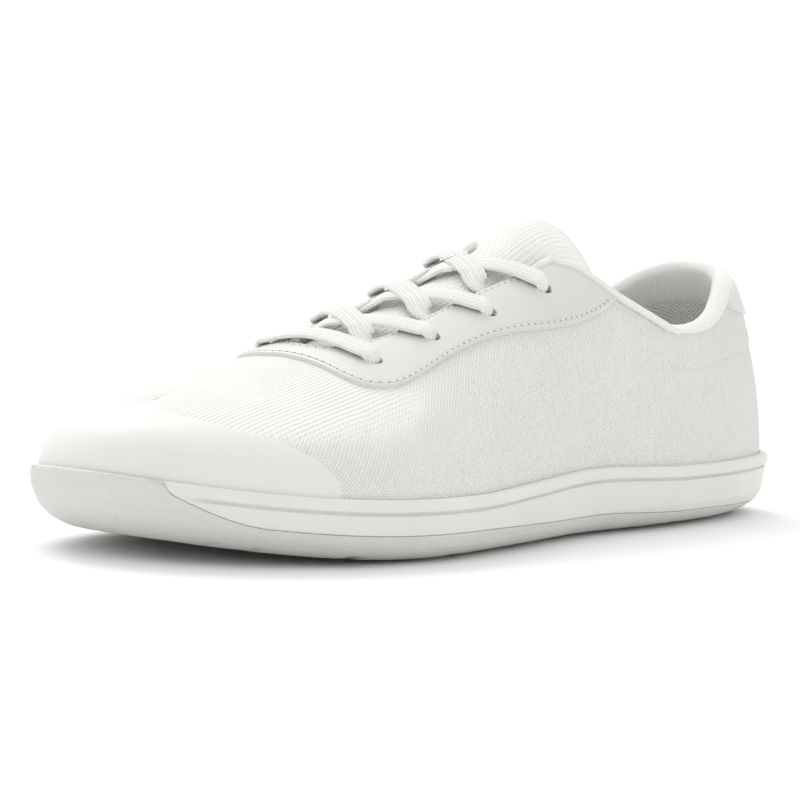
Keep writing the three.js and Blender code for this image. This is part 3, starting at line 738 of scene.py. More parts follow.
SOLE_COLUMNS = 720
LOW_ROWS, WALL_ROWS, BEAD_ROWS = 60, 24, 76
SIDE_ROWS = LOW_ROWS + WALL_ROWS + BEAD_ROWS
SEAM_HALF = 0.16
RIM_PRESS = 0.3
OUTSOLE_ROWS, BOTTOM_ROWS, MIDSOLE_ROWS = 82, 72, 100

# Rows that turn in behind each side of the seam: distance inward and away from the edge.
SEAM_TURN = ((0.2, 0.1), (0.6, 0.14), (3.0, 0.14))

# The bead fades into a smooth bumper over this much length before its top end.
FLUSH_LENGTH = 9
TREAD_SOFT = 0.35


def ring_faces(count, height):
    """Faces of a closed ring of count columns of height points."""
    j, k = np.meshgrid(np.arange(count), np.arange(height - 1), indexing="ij")
    j, k = j.ravel() * height, k.ravel()
    after = (j + height) % (count * height)
    return np.stack([j + k, j + k + 1, after + k + 1, after + k], 1)


def side_profile(shares):
    """Side of the sole at each share round the outline: insets and heights from the bottom up."""
    keys = np.stack([SOLE_SIDE[name] for name in ("inset", "up", "groove")], 1)
    low, bead = spline(keys[:SIDE_LOW_ROWS - 1], LOW_ROWS), spline(keys[SIDE_LOW_ROWS - 1:], BEAD_ROWS)
    flush = smoothstep(BUMPER_TOP - FLUSH_LENGTH, BUMPER_TOP - 1, outline(shares, 0.0)[:, 0])[:, None]
    face = ((bead[:, 1] < -0.85) & (bead[:, 0] < 2))[None, :]
    bead_inset = bead[None, :, 0] + bead[None, :, 2] * BEAD_GROOVE * (1 - flush)
    bead_inset = np.where(face, bead_inset * (1 - flush) + 0.1 * flush, bead_inset)
    low_inset = low[None, :, 0] + np.zeros_like(flush)
    low_height = bottom_at(outline(shares[:, None], low_inset)[..., 0]) + low[None, :, 1]
    bead_height = sole_height("rim", outline(shares[:, None], bead_inset)[..., 0]) + bead[None, :, 1]
    share = np.linspace(0, 1, WALL_ROWS + 2)[None, 1:-1]
    wall_inset = low_inset[:, -1:] * (1 - share) + bead_inset[:, :1] * share
    wall_height = low_height[:, -1:] * (1 - share) + bead_height[:, :1] * share
    return (np.concatenate([low_inset, wall_inset, bead_inset], 1),
            np.concatenate([low_height, wall_height, bead_height], 1))


def row_at(heights, level):
    """Row number at which each column reaches a height."""
    rows = np.arange(SIDE_ROWS)
    climbed = np.maximum.accumulate(heights, axis=1) + rows * 1e-6
    return np.array([np.interp(level[n], climbed[n], rows) for n in range(len(level))])


def seam_at(x):
    """Height of the line between outsole and midsole, up to the rim at the toe bumper."""
    groove, rim = sole_height("groove", x), sole_height("rim", x)
    climb = np.clip((x - BUMPER_FOOT) / (BUMPER_TOP - BUMPER_FOOT), 0, 1)
    return groove + (rim + 0.2 - groove) * climb ** BUMPER_CLIMB


def tread_height(points):
    """How far the flex grooves lift the bottom at each point."""
    lift = np.zeros(points.shape[:-1])
    for at, turn in zip(TREAD["at"], TREAD["turn"]):
        angle = math.radians(turn)
        away = (points[..., 0] - at * LENGTH) * math.cos(angle) + points[..., 1] * math.sin(angle)
        off = np.abs(away) - TREAD_WIDTH / 2
        lift = np.maximum(lift, 1 - smoothstep(-TREAD_SOFT, TREAD_SOFT, off))
    return lift * TREAD_DEPTH


def side_rows(shares, insets, heights, low, high, count):
    """Rows of points up the side between row numbers low and high at each share."""
    place = low[:, None] + (high - low)[:, None] * np.linspace(0, 1, count)
    k = np.clip(place.astype(int), 0, SIDE_ROWS - 2)
    t = place - k
    take = np.arange(len(shares))[:, None]
    inset = insets[take, k] * (1 - t) + insets[take, k + 1] * t
    height = heights[take, k] * (1 - t) + heights[take, k + 1] * t
    plan = outline(shares[:, None], inset)
    return np.concatenate([plan, height[..., None]], -1), inset


def edge_row(shares, inset, height):
    return np.concatenate([outline(shares, inset), height[:, None]], -1)[:, None]


def make_sole():
    shares = even_shares(SOLE_COLUMNS + 1)[:-1]
    insets, heights = side_profile(shares)
    x = outline(shares, 1.0)[:, 0]
    seam = np.minimum(seam_at(x), sole_height("rim", x) - RIM_PRESS)
    last = np.full(len(shares), SIDE_ROWS - 1.0)
    over = smoothstep(BUMPER_TOP - 4, BUMPER_TOP, x)
    below_seam = row_at(heights, seam - SEAM_HALF) * (1 - over) + last * over
    above_seam = row_at(heights, seam + SEAM_HALF) * (1 - over) + (last - 1) * over

    side, inset = side_rows(shares, insets, heights, np.zeros(len(shares)), below_seam, OUTSOLE_ROWS)
    top_inset, top = inset[:, -1], side[:, -1, 2] - RIM_PRESS * over
    lips = [edge_row(shares, top_inset + deeper * (1 - over), top + up * (1 - over))
            for deeper, up in SEAM_TURN]
    wall = np.concatenate([side, *lips], axis=1)
    wall[..., 2] = np.maximum(wall[..., 2], bottom_at(wall[..., 0]) + tread_height(wall))
    half = SOLE_COLUMNS // 2
    edge = SOLE_SIDE["inset"][0]
    left = outline(shares[:half + 1], edge)
    right = outline(shares[(-np.arange(half + 1)) % SOLE_COLUMNS], edge)
    share = np.linspace(0, 1, BOTTOM_ROWS)[:, None]
    plan = left[:, None] * (1 - share) + right[:, None] * share
    flat = np.concatenate([plan, np.zeros(plan.shape[:2] + (1,))], -1)
    flat[..., 2] = bottom_at(flat[..., 0]) + tread_height(flat)
    verts = [wall.reshape(-1, 3), flat.reshape(-1, 3)]
    faces = [ring_faces(SOLE_COLUMNS, wall.shape[1]), grid_faces(half + 1, BOTTOM_ROWS, start=len(verts[0]))]
    outsole = add_object("outsole_shell", np.concatenate(verts), np.concatenate(faces), [OUTSOLE])
    finish_piece(tidy(outsole), "outsole_rubber", "outsole")

    band, inset = side_rows(shares, insets, heights, above_seam, last, MIDSOLE_ROWS)
    foot_inset, foot = inset[:, 0], band[:, 0, 2]
    starts = [edge_row(shares, foot_inset + deeper, foot - down) for deeper, down in SEAM_TURN[::-1]]
    wall = np.concatenate([*starts, band], axis=1)
    faces = ring_faces(SOLE_COLUMNS, wall.shape[1])
    faces = faces[(x[faces // wall.shape[1]] < BUMPER_TOP).all(1)]
    midsole = add_object("midsole_cup", wall, faces, [MIDSOLE])
    finish_piece(tidy(midsole), "midsole_rubber", "midsole")


make_sole()


# Eyelets: where the laces pass the eyestay.

def eyelet_plan(row, side):
    x = EYELETS[row] * LENGTH
    return np.array([x, float(throat_side_at(x)) + side * EYELET_SPREAD / 2])


EYELET_SPOTS = list(zip(*surface_over(np.array(
    [eyelet_plan(row, side) for row in range(len(EYELETS)) for side in (1, -1)]))))


def punch(verts, faces, radius, snap=True):
    """Drops the faces over each lace hole and draws what is left of them onto its round edge."""
    verts = verts.copy()
    keep = np.ones(len(faces), bool)
    for centre, normal in EYELET_SPOTS:
        away = verts - centre
        rise = away @ normal
        flat = away - rise[:, None] * normal
        distance = np.linalg.norm(flat, axis=1)
        near = (np.abs(rise) < 5) & (distance < radius)
        keep &= ~near[faces].all(1)
        if snap:
            out = centre + rise[:, None] * normal + flat * (radius / np.maximum(distance, 1e-6))[:, None]
            verts[near] = out[near]
    return verts, faces[keep]


def sink_holes(piece, depth):
    """Gives each lace hole a wall down through the panel."""
    work = bmesh.new()
    work.from_mesh(piece.data)
    for centre, normal in EYELET_SPOTS:
        middle = Vector((centre - ORIGIN) * MM)
        reach = (EYELET_DIAMETER * 0.75) * MM
        rim = [e for e in work.edges if e.is_boundary and (e.verts[0].co - middle).length < reach]
        for amount, spread in ((0.25, 0.94), (depth, 0.94)):
            made = bmesh.ops.extrude_edge_only(work, edges=rim)["geom"]
            down = Vector(normal) * (-amount * MM)
            for vert in (g for g in made if isinstance(g, bmesh.types.BMVert)):
                vert.co = middle + (vert.co - middle) * spread + down
            rim = [g for g in made if isinstance(g, bmesh.types.BMEdge) and g.is_boundary
                   and all(v in made for v in g.verts)]
    for face in work.faces:
        face.smooth = True
    work.to_mesh(piece.data)
    work.free()


# Canvas upper.

CANVAS_COLUMNS = 640
CANVAS_ROWS = 80
LINING_ROWS = 26
CANVAS_FOOT = 3
LINING_FOOT = 8
CUT_EASE = 0.4
EDGE_DEPTHS = (0.35, 1.0, 1.6)
HOLE_EASE = 0.5
PUFF = 0.5
PUFF_END = (76, 98)
SEAM_TROUGH = 0.28
SEAM_WIDTH = 0.9

# Creases fade in and out over these shares of their length, and fade in this many millimetres from the
# ridge.
CREASE_START = (-0.35, 0.3)
CREASE_END = (0.7, 1.35)
CREASE_FROM_RIDGE = (4, 18)

# Where the knit turns into ribs: along the shoe, by how level the canvas is, and by its height at the toe.
VAMP_START = (170, 200)
VAMP_LEVEL = (0.72, 0.93)
VAMP_TOE_START = (218, 228)
VAMP_TOE_HEIGHT = (35, 37.5)


def crease_depth(points, side):
    """Depth of the soft creases at each point, on the side of the shoe that each belongs to."""
    depth = np.zeros(points.shape[:-1])
    x, z = points[..., 0] / LENGTH, points[..., 2] / HEEL_HEIGHT
    off_ridge = smoothstep(*CREASE_FROM_RIDGE, np.abs(points[..., 1] - ridge_side_at(points[..., 0])))
    for row in zip(*CREASES.values()):
        crease = dict(zip(CREASES, row))
        along_x = (crease["end_at"] - crease["at"]) * LENGTH
        along_z = (crease["end_up"] - crease["up"]) * HEEL_HEIGHT
        size = math.hypot(along_x, along_z)
        dx = (x - crease["at"]) * LENGTH
        dz = (z - crease["up"]) * HEEL_HEIGHT
        t = (dx * along_x + dz * along_z) / size ** 2
        off = (dx * along_z - dz * along_x) / size
        fade = smoothstep(*CREASE_START, t) * (1 - smoothstep(*CREASE_END, t))
        strength = np.where((crease["side"] == 0) | (crease["side"] == side), 1.0, 0.0) * off_ridge
        depth += strength * fade * crease["depth"] * np.exp(-(off / crease["half"]) ** 2)
    return depth


# Line under the padded band round the collar, in side view.
FOAM_SEAM = columns(["x", "up"], [0, 50], [30, 48.6], [46, 45.8], [62, 44.7], [76, 46.3], [90, 51.0])


def canvas_relief(points, u):
    """Height of the canvas over its plain form: the padded band, its seam and the creases."""
    x, z = points[..., 0], points[..., 2]
    top, low = topline_at(x), np.interp(x, FOAM_SEAM["x"], FOAM_SEAM["up"])
    share = np.clip((z - low) / np.maximum(top - low, 1), 0, 1)
    fade = 1 - smoothstep(*PUFF_END, x)
    puff = PUFF * np.sin(math.pi * np.sqrt(share))
    trough = SEAM_TROUGH * np.exp(-((z - low) / SEAM_WIDTH) ** 2)
    return (puff - trough) * fade - crease_depth(points, np.where(u < 0, -1, 1)[:, None])


def is_cut(points, ease=0.0):
    """True in the collar's and the throat's opening, the throat's sides moved out by ease."""
    x, y, z = np.moveaxis(points, -1, 0)
    throat = (np.abs(y - throat_side_at(x)) < throat_half(x) + ease) & (x < THROAT["at"][0] * LENGTH)
    return ((z > topline_at(x)) & (x < THROAT_TOP)) | (throat & (x > 0.3 * LENGTH) & (z > 0.5 * HEEL_HEIGHT))


def make_canvas():
    half = even_shares(CANVAS_COLUMNS // 2 + 1, 0.0, 0.5)
    u = np.concatenate([-half[:0:-1], half[:-1]])
    top = first_angle(u, lambda points: is_cut(points, CUT_EASE))
    angle = top[:, None] * np.linspace(0, 1, CANVAS_ROWS)
    outer = last_point(u[:, None], angle)
    outer = outer + last_normal(u[:, None], angle) * canvas_relief(outer, u)[..., None]
    foot = outer[:, :1].copy()
    foot[..., 2] -= CANVAS_FOOT
    inner_angle = top[:, None] * np.linspace(1, 0, LINING_ROWS)
    inner = last_point(u[:, None], inner_angle, -UPPER_WALL)
    turn = [last_point(u, top, -depth)[:, None] for depth in EDGE_DEPTHS]
    inner_foot = inner[:, -1:].copy()
    inner_foot[..., 2] -= LINING_FOOT
    points = np.concatenate([foot, outer, *turn, inner, inner_foot], axis=1)
    count = points.shape[1]
    walked = np.interp(np.abs(u), half, lengths(outline(half, 0.0)))
    climbed = lengths(points)
    # Both halves count the same distance up to the ridge, so the weave meets there.
    whole = lengths(last_point(u[:, None], np.linspace(0, math.pi / 2, 60)))[:, -1]
    climbed *= (0.5 + 0.5 * np.interp(-u, u, whole) / whole)[:, None]
    upward = np.abs(grid_normals(points)[..., 2])
    x, z = points[..., 0], points[..., 2]
    vamp = smoothstep(*VAMP_START, x) * smoothstep(*VAMP_LEVEL, upward)
    vamp = np.maximum(vamp, smoothstep(*VAMP_TOE_START, x) * smoothstep(*VAMP_TOE_HEIGHT, z))
    cloth = cloth_of(walked[:, None], climbed, vamp)
    faces = ring_faces(len(u), count)
    first_row = (faces % count).min(1)
    edge = (first_row >= CANVAS_ROWS) & (first_row <= CANVAS_ROWS + len(EDGE_DEPTHS))
    faces = faces[~(edge & (top[faces // count] > math.pi / 2 - 1e-6).all(1))]
    verts, faces = punch(points.reshape(-1, 3), faces, EYELET_DIAMETER / 2 + HOLE_EASE, snap=False)
    row = (faces % count).max(1)
    lined = row > CANVAS_ROWS + len(EDGE_DEPTHS)
    piece = add_object("canvas_upper", verts, faces, [CANVAS, LINING], lined, cloth)
    finish_piece(tidy(piece, outward=False), "canvas", "upper")


make_canvas()


# Overlays on the canvas.

EDGE_TURN = np.array([0.0, 0.02, 0.12, 0.3, 0.55, 0.9])
EDGE_RISE = np.array([-0.25, 0.45, 0.72, 0.9, 0.98, 1.0])


def edge_profile(span, thickness, count, stretch, low_round=True):
    """Distances along each column, and heights over the canvas, round at the edges."""
    limit = span[:, None] * 0.45
    low = np.minimum(EDGE_TURN, limit)
    high = span[:, None] - np.minimum(EDGE_TURN[::-1] * stretch[:, None], limit)
    share = np.linspace(0, 1, count + 2)[1:-1]
    middle = low[:, -1:] * (1 - share) + high[:, :1] * share
    low_rise = EDGE_RISE if low_round else np.ones(len(EDGE_RISE))
    heights = np.concatenate([low_rise, np.ones(count), EDGE_RISE[::-1]]) * thickness
    return np.concatenate([low, middle, high], 1), heights


PANEL_LIFT = 0.05
PANEL_SUNK = 0.25
PANEL_END_COLUMNS = 4


def meridian_panel(name, u, low, high, thickness, rows, material, low_round=True):
    """Panel between two angles on each meridian."""
    angles = low[:, None] + (high - low)[:, None] * np.linspace(0, 1, 60)
    climbed = lengths(last_point(u[:, None], angles))
    span = climbed[:, -1]
    along_base = np.linalg.norm(np.gradient(last_point(u, high), axis=0), axis=1)
    slant = np.gradient(span) / np.maximum(along_base, 1e-6)
    stretch = np.clip(np.sqrt(1 + slant ** 2), 1, 6)
    spots, heights = edge_profile(span, thickness, rows, stretch, low_round)
    # The first and the last columns close down onto the canvas too.
    from_end = np.minimum(np.arange(len(u)), np.arange(len(u))[::-1])
    open_share = np.sqrt(np.clip(from_end / PANEL_END_COLUMNS, 0, 1))[:, None]
    heights = (heights + PANEL_SUNK) * open_share - PANEL_SUNK
    angle = np.stack([np.interp(spots[n], climbed[n], angles[n]) for n in range(len(u))])
    base = last_point(u[:, None], angle)
    height = PANEL_LIFT + heights + canvas_relief(base, u)
    points = base + last_normal(u[:, None], angle) * height[..., None]
    piece = add_object(name, points, grid_faces(len(u), points.shape[1]), [material])
    return tidy(piece, outward=False)


# Thickness of the drawn film as a share of the solid cap's.
CAP_SHARE = 0.5


def behind_cap(points):
    """True behind the toe cap's rear edge."""
    edge = np.interp(points[..., 1], CAP_FINE[::-1, 1], CAP_FINE[::-1, 0])
    return points[..., 0] < edge


def make_toe_cap():
    u = even_shares(520, 0.25, 0.75)
    u = np.where(u > 0.5, u - 1, u)
    u = u[~behind_cap(last_point(u, np.zeros_like(u)))]
    high = first_angle(u, behind_cap)
    piece = meridian_panel("toe_film_cap", u, np.zeros_like(u), high, CAP_THICKNESS * CAP_SHARE, 40, FILM,
                           low_round=False)
    finish_piece(piece, "cap_film", "toe_cap")


make_toe_cap()


def make_heel_tab():
    edge_x, edge_z = sized(TAB_EDGE, "up", HEEL_HEIGHT).T
    u = even_shares(260, -0.1, 0.1)
    top = first_angle(u, is_cut)
    low = first_angle(u, lambda points: points[..., 2] > np.interp(points[..., 0], edge_x, edge_z))
    keep = (last_point(u, top)[:, 0] < edge_x[-1]) & (low < top)
    piece = meridian_panel("heel_tab_panel", u[keep], low[keep], top[keep], TAB_THICKNESS, 16, PANEL)
    finish_piece(piece, "smooth_panel", "heel_tab")


make_heel_tab()


# Eyestay: a band round the throat, from the throat's edge to the eyestay's lower edge.

STAY_HALF_COLUMNS = 230
STAY_ROWS = 44
STAY_THROAT = np.array([0.402, 0.42, 0.44, 0.48, 0.52, 0.56, 0.6, 0.635, 0.66, 0.68, 0.692, 0.7, 0.705,
                        0.7075])
THROAT_CLEAR = 1.2
STAY_EDGE_STRETCH = 1.2
HOLE_DEPTH = 2.6

# Rows of stitches: distance from the eyestay's lower and inner edge.
STITCH_FROM_LOW = 1.9
STITCH_FROM_INNER = 1.7


def stay_edges(side):
    """Plan points of the eyestay's inner and lower edge on one side, from the collar to the front."""
    over = topline_plan(np.linspace(STAY_SIDE["at"][0] * LENGTH, THROAT_TOP - THROAT_CLEAR, 8), side)
    throat = throat_edge(STAY_THROAT * LENGTH, side)
    front = throat_edge(THROAT["at"][:1] * LENGTH, 0)
    rows = len(STAY_SIDE["at"]) if side > 0 else STAY_SIDE_INNER_ROWS
    low = last_point(*side_over(*sized(STAY_SIDE, "up", HEEL_HEIGHT)[:rows].T, side))[:, :2]
    low[0] = over[0]
    nose = STAY_FRONT_OUTER if side > 0 else STAY_FRONT_INNER
    lines = [over, throat, front], [low, sized(nose, "side", BALL_WIDTH)]
    return [spline(np.concatenate(line), STAY_HALF_COLUMNS) for line in lines]


def stay_columns():
    """Plan points along each column of the eyestay, and their distance from its inner edge."""
    inner, lower = (np.concatenate([a, b[-2::-1]])[:, None] for a, b in zip(stay_edges(1), stay_edges(-1)))
    share = np.linspace(0, 1, 50)[:, None]
    plan = inner * (1 - share) + lower * share
    return plan, lengths(surface_over(plan)[0])


STAY_PLAN, STAY_WALKED = stay_columns()


def stay_point(column, distance, height):
    """Point on the eyestay's columns at a distance from the inner edge and a height over the canvas."""
    plan = np.stack([
        np.stack([np.interp(distance[n], STAY_WALKED[c], STAY_PLAN[c, :, k]) for n, c in enumerate(column)])
        for k in (0, 1)], -1)
    points, normals = surface_over(plan)
    return points + normals * height[..., None]


def make_eyestay():
    """The panel, pressed in a little along both rows of stitches."""
    count = len(STAY_PLAN)
    span = STAY_WALKED[:, -1]
    spots, heights = edge_profile(span, EYESTAY_THICKNESS, STAY_ROWS, np.full(count, STAY_EDGE_STRETCH))
    low_row = np.exp(-((span[:, None] - spots - STITCH_FROM_LOW) / 0.45) ** 2)
    inner_row = np.exp(-((spots - STITCH_FROM_INNER) / 0.4) ** 2)
    heights = heights - (0.28 * low_row + 0.18 * inner_row) * smoothstep(2, 6, span)[:, None]
    points = stay_point(np.arange(count), spots, heights)
    verts, faces = punch(points.reshape(-1, 3), grid_faces(count, points.shape[1]), EYELET_DIAMETER / 2)
    piece = add_object("eyestay_panel", verts, faces, [PANEL])
    sink_holes(piece, HOLE_DEPTH)
    finish_piece(tidy(piece, outward=False), "smooth_panel", "eyestay")


make_eyestay()


# Tubes: laces, piping and stitches.

def frames(points, normals):
    """Sideways and upward directions along a line that lies on a surface with these normals."""
    ahead = np.gradient(points, axis=0)
    ahead /= np.linalg.norm(ahead, axis=1, keepdims=True)
    across = np.cross(normals, ahead)
    across /= np.maximum(np.linalg.norm(across, axis=1, keepdims=True), 1e-9)
    return across, np.cross(ahead, across)


def tube(points, normals, widths, thicknesses, sides, flat=2.0):
    """Rings of a tube along a line, each an ellipse or a flatter oval."""
    across, up = frames(points, normals)
    turn = np.linspace(0, 2 * math.pi, sides, endpoint=False)
    w = np.sign(np.cos(turn)) * np.abs(np.cos(turn)) ** (2 / flat)
    h = np.sign(np.sin(turn)) * np.abs(np.sin(turn)) ** (2 / flat)
    return (points[:, None] + across[:, None] * (w * widths[:, None] / 2)[..., None]
            + up[:, None] * (h * thicknesses[:, None] / 2)[..., None])


def tube_faces(rings, sides, start=0):
    faces = [tuple(f) for f in grid_faces(rings, sides, wrap=True, start=start)]
    faces.append(tuple(range(start + sides - 1, start - 1, -1)))
    end = start + (rings - 1) * sides
    faces.append(tuple(range(end, end + sides)))
    return faces


def smooth_route(route, count):
    route = spline(route, count)
    points, normals = surface_over(route)
    return points + normals * route[:, 2:3], normals


# Where a lace starts under the throat's edge: behind it along the shoe, and away from the middle.
LACE_BACK = (-2.2, 5.5)

# Ends of a lace at a hole: distance along the lace and height; the highest is counted from its top.
DIVE = ((2.0, 0.2), (0.5, 0.6), (0.5, -1.2), (0.9, -3.5))
RISE = ((0.9, -3.5), (0.5, -1.2), (0.4, 0.6), (1.8, 0.25))


def strap(start, end, lift, from_hole):
    """Route of a lace over the eyestay: from under the throat's edge or out of a hole, into a hole."""
    top = EYESTAY_THICKNESS + 0.2 + LACE_THICKNESS / 2
    step = (end - start) / np.linalg.norm(end - start)
    if from_hole:
        route = [[*(start + step * away), up] for away, up in RISE]
        route[-1][-1] += top
    else:
        back = np.array([LACE_BACK[0], math.copysign(LACE_BACK[1], start[1] - throat_side_at(start[0]))])
        route = [[*(start + share * back), up] for share, up in ((1, -3.4), (0.5, -1.9), (0, 0.7))]
    for share in STRAP_SHARES:
        bow = math.sin(math.pi * share) ** 2
        route.append([*(start + (end - start) * share), top + 0.1 + lift * bow])
    dive = [[*(end - step * away), up] for away, up in DIVE]
    dive[0][-1] += top
    return np.array(route + dive)


LACE_SIDES = 28
LACE_PINCH = 0.46
LACE_SWELL = 0.55
PINCH_REACH = (2.5, 8)
STRAP_SHARES = np.linspace(0.12, 0.86, 9)


def lace_mesh(routes):
    verts, faces, cloth = [], [], []
    for route, from_hole in routes:
        points, normals = smooth_route(route, 150)
        walked = lengths(points)
        from_end = walked[-1] - walked
        away = np.minimum(from_end, walked) if from_hole else from_end
        pinch = 1 - smoothstep(*PINCH_REACH, away)
        widths = LACE_WIDTH * (1 - LACE_PINCH * pinch)
        thick = LACE_THICKNESS * (1 + LACE_SWELL * pinch)
        rings = tube(points, normals, widths, thick, LACE_SIDES, 2.6)
        faces += tube_faces(len(points), LACE_SIDES, sum(len(v) for v in verts))
        verts.append(rings.reshape(-1, 3))
        turn = np.linspace(0, 2 * math.pi, LACE_SIDES, endpoint=False)
        across = np.cos(turn) * widths[:, None] / 2
        cloth.append(cloth_of(walked[:, None], across))
    return np.concatenate(verts), faces, np.concatenate(cloth)


def throat_start(row, side):
    x = EYELETS[row] * LENGTH - LACE_START_BACK
    return np.array([x, float(throat_side_at(x)) + side * (THROAT_WIDTH - LACE_WIDTH) / 2])


def make_laces():
    bar = strap(eyelet_plan(0, -1), eyelet_plan(0, 1), 0.4, True)
    sets = [("lace_bar_woven", "lace_bar", [(bar, True)])]
    for row in range(len(EYELETS) - 1):
        under = strap(throat_start(row, -1), eyelet_plan(row + 1, 1), 0.3, False)
        over = strap(throat_start(row, 1), eyelet_plan(row + 1, -1), LACE_THICKNESS, False)
        routes = [(under, False), (over, False)]
        sets.append((f"lace_cross_woven_{row + 1}", f"lace_cross_{row + 1}", routes))
    for name, node, routes in sets:
        verts, faces, cloth = lace_mesh(routes)
        piece = add_object(name, verts, faces, [LACE], cloth=cloth)
        finish_piece(tidy(piece, weld=0.000001), "lace", node)


make_laces()


# Collar pad, pressed onto the canvas edge, and its piping.

ROLL_PRESS = 0.4
COLLAR_TAPER_START = 0.25


def make_collar():
    u = np.linspace(-COLLAR_REACH, COLLAR_REACH, 300)
    taper = smoothstep(COLLAR_TAPER_START, 1, np.abs(u) / COLLAR_REACH)
    pad = COLLAR_PAD + (COLLAR_TIP - COLLAR_PAD) * taper
    depth = COLLAR_DEPTH + (COLLAR_TIP_DEPTH - COLLAR_DEPTH) * taper
    place = np.linspace(0, len(COLLAR_SECTION["up"]) - 1, 64)
    up, down, inward, behind = (along(column, place) for column in COLLAR_SECTION.values())
    grow = -inward * pad[:, None] - np.clip(behind, 0, 1) * (UPPER_WALL + GAP + FLAT_SAG)
    places = u[:, None] * np.ones_like(grow)

    def ahead(angle):
        point = last_point(places, angle, grow)
        rise = up * pad[:, None] - down * depth[:, None]
        return point[..., 2] > topline_at(point[..., 0]) - ROLL_PRESS + rise

    angle = halve(np.zeros_like(grow), np.full_like(grow, math.pi / 2), ahead)
    points = last_point(places, angle, grow)
    count = points.shape[1]
    cloth = cloth_of(lengths(points[:, count // 2])[:, None], lengths(points))
    # The net lies on the inner and the lowest rows, the knit on the roll and both ends.
    row = np.tile(np.arange(count), len(u) - 1) / count
    net = [*((row > 0.8) | (row < 0.1)), False, False]
    piece = add_object("collar_roll", points, tube_faces(len(u), count), [ROLL, NET], net, cloth)
    finish_piece(tidy(piece), "lining_mesh", "collar_lining")


make_collar()

PIPING_DIAMETER = 2.2
PIPING_START = 0.435
PIPING_END = 0.235
PIPING_RISE = 0.8
PIPING_SIDES = 16
PIPING_WEAVE = 0.35


def make_piping():
    """Rolled edge from the throat over the eyestay's top and down the topline into the collar."""
    for side, name in ((1, "piping_outer"), (-1, "piping_inner")):
        throat = throat_edge(np.linspace(PIPING_START, STAY_THROAT[0], 6) * LENGTH, side)
        over = topline_plan(np.linspace(THROAT_TOP - THROAT_CLEAR, PIPING_END * LENGTH, 18), side)
        points, normal = surface_over(spline(np.concatenate([throat, over]), 220))
        walked = lengths(points)
        sunk = 1.2 * (1 - smoothstep(0, 6, walked)) + 0.5 * smoothstep(walked[-1] - 10, walked[-1], walked)
        points = points + normal * (PIPING_RISE - sunk)[:, None]
        widths = np.full(len(points), PIPING_DIAMETER)
        rings = tube(points, normal, widths, widths, PIPING_SIDES)
        cloth = cloth_of(walked[:, None], np.arange(PIPING_SIDES) * PIPING_WEAVE)
        piece = add_object(name, rings, tube_faces(len(points), PIPING_SIDES), [ROLL], cloth=cloth)
        finish_piece(tidy(piece, weld=0.000001), "lining_mesh")


make_piping()


# Tongue: padded ribbed knit.

TONGUE_ACROSS = 320
TONGUE_ALONG = 110
RIB_PITCH = 1.2
RIB_HEIGHT = 0.13


def tongue_surface(row, offset, grow):
    """Points of the tongue at row numbers and offsets across, with grow from the form."""
    values = {name: along(TONGUE[name], row, level=False) for name in TONGUE}
    place = np.where(offset < 0, -1.0, 1.0) * values["section"] / 2 / LAST_SECTION
    base, ridge, power = meridian(place, grow)
    reach = np.hypot(base[..., 0] - ridge[..., 0], base[..., 1] - ridge[..., 1])
    angle = np.arccos(np.clip(np.abs(offset) / reach, 0, 1) ** (1 / power))
    points = last_point(place, angle, grow)
    half = values["crown"] * THROAT_WIDTH / 2
    points[..., 2] += (values["rise"] * TONGUE_THICKNESS
                       * np.maximum(1 - np.abs((offset - THROAT_SHIFT) / half) ** 3, 0))
    return points


def make_tongue():
    row = np.linspace(0, len(TONGUE["half"]) - 1, TONGUE_ALONG)[:, None]
    share = np.linspace(-1, 1, TONGUE_ACROSS)
    half, sink, thick = (along(TONGUE[name], row, level=False) for name in ("half", "sink", "thick"))
    offset = half * THROAT_WIDTH * share
    cover = -(UPPER_WALL + GAP + FLAT_SAG + sink * TONGUE_THICKNESS) + np.zeros_like(offset)
    top = tongue_surface(row + np.zeros_like(offset), offset, cover)
    ribs = RIB_HEIGHT * np.cos(2 * math.pi * offset / RIB_PITCH) * (1 - share ** 8)
    top = top + grid_normals(top) * ribs[..., None]
    thickness = TONGUE_THICKNESS * thick * (1 - share ** 4)
    under = tongue_surface(row + np.zeros_like(offset), offset, cover - thickness)
    loop = np.concatenate([top, under[:, -2:0:-1]], axis=1)
    cloth = cloth_of(lengths(loop), lengths(loop[:, TONGUE_ACROSS // 2])[:, None])
    piece = add_object("tongue_ribbed", loop, tube_faces(*loop.shape[:2]), [TONGUE_KNIT], cloth=cloth)
    finish_piece(tidy(piece), "tongue_knit", "tongue")


make_tongue()


# Stitches.

STITCH_LENGTH = 1.9
STITCH_GAP = 0.7
STITCH_WIDTH = 0.62
STITCH_SINK = 0.18
STITCH_SPAN = 4.5
STITCH_BOW = np.array([-0.16, 0.02, 0.1, 0.1, 0.02, -0.16])
STITCH_TAPER = np.array([0.5, 0.9, 1, 1, 0.9, 0.5])
STITCH_SIDES = 6
NEEDLE_LENGTH = 0.5
NEEDLE_WIDTH = 0.42


def stitch_mesh(name, lines, material, length, gap, width, shift):
    verts, faces = [], []
    for points, normals in lines:
        walked = lengths(points)
        count = int(walked[-1] // (length + gap))
        for n in range(count):
            start = n * (length + gap) + shift
            spots = np.linspace(start, min(start + length, walked[-1]), len(STITCH_BOW))
            line, normal = (np.stack([np.interp(spots, walked, column) for column in rows.T], 1)
                            for rows in (points, normals))
            size = STITCH_TAPER * width
            rings = tube(line + normal * STITCH_BOW[:, None], normal, size, size * 0.8, STITCH_SIDES)
            faces += tube_faces(len(spots), STITCH_SIDES, len(verts) * rings[..., 0].size)
            verts.append(rings.reshape(-1, 3))
    piece = add_object(name, np.concatenate(verts), faces, [material])
    finish_piece(piece, "smooth_panel")


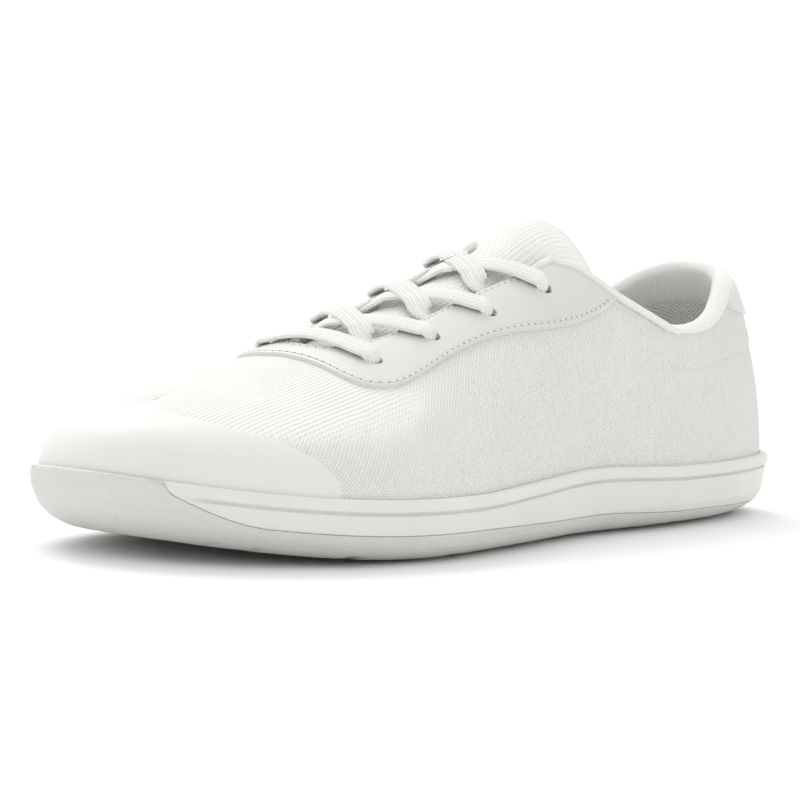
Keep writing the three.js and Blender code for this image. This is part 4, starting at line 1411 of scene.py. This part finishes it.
def stay_line(distance, skip):
    """A line along the eyestay at a distance from its inner edge, skipping columns at both ends."""
    use = np.arange(skip, len(distance) - skip)
    use = use[STAY_WALKED[use, -1] > STITCH_SPAN]
    height = np.full((len(use), 1), EYESTAY_THICKNESS - STITCH_SINK)
    points = stay_point(use, distance[use][:, None], height)[:, 0]
    return even(points, 900), even(surface_over(points)[1], 900)


def make_stitches():
    span = STAY_WALKED[:, -1]
    low = stay_line(span - STITCH_FROM_LOW, 6)
    inner = stay_line(np.full_like(span, STITCH_FROM_INNER), 60)
    needle_gap = STITCH_LENGTH + STITCH_GAP - NEEDLE_LENGTH
    # The second set of dashes is painted shade in the needle holes between the stitches.
    for name, material, length, gap, width, shift in (
            ("stitches_eyestay", THREAD, STITCH_LENGTH, STITCH_GAP, STITCH_WIDTH, 0.0),
            ("needle_shade_dashes_eyestay", NEEDLE_SHADE, NEEDLE_LENGTH, needle_gap, NEEDLE_WIDTH, STITCH_LENGTH + 0.1)):
        stitch_mesh(name, [low, inner], material, length, gap, width, shift)


make_stitches()

# The carried-over insole.
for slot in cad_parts["insole"].material_slots:
    slot.material = FOOTBED


# Floor and light.

def add_floor():
    bpy.ops.mesh.primitive_plane_add(size=60, location=(0, 0, -0.0002))
    floor = bpy.context.object
    floor.name = "floor"
    finish = Finish("pale_floor", (0.95, 0.95, 0.95), 1.0, specular_ior_level=0.0)
    floor.data.materials.append(finish.material)


ROOM_LIGHT = 0.74
WALL_LIGHT = 0.34
WALL_TOWARD = (-0.78, -0.62, 0.0)
SKY_LIGHT = 0.25
SKY_TOWARD = (0.0, 0.0, 1.0)
SUN_LIGHT = 1.15
SUN_FROM = (-0.3, -0.75, 1.0)
SUN_SPREAD = 34


def add_lights():
    """A bright wall behind the shoe, a softer room before it, and a broad sun from above."""
    world = bpy.data.worlds.new("studio")
    world.use_nodes = True
    tree = world.node_tree
    direction = add_node(tree, "ShaderNodeTexCoord").outputs["Generated"]
    total = ROOM_LIGHT
    for toward, power in ((WALL_TOWARD, WALL_LIGHT), (SKY_TOWARD, SKY_LIGHT)):
        facing = add_node(tree, "ShaderNodeVectorMath", {0: direction, 1: toward}, operation="DOT_PRODUCT")
        part = add_node(tree, "ShaderNodeMapRange", {0: facing.outputs["Value"], 4: power}).outputs[0]
        total = add_node(tree, "ShaderNodeMath", {0: total, 1: part}).outputs[0]
    background = tree.nodes["Background"]
    tree.links.new(total, background.inputs[1])
    background.inputs[0].default_value = (1, 1, 1, 1)
    bpy.context.scene.world = world
    data = bpy.data.lights.new("key", "SUN")
    data.energy = SUN_LIGHT
    data.angle = math.radians(SUN_SPREAD)
    placed("key", data).rotation_euler = (-Vector(SUN_FROM)).to_track_quat("-Z", "Y").to_euler()


add_floor()
add_lights()
bpy.context.scene.view_settings.view_transform = "Standard"
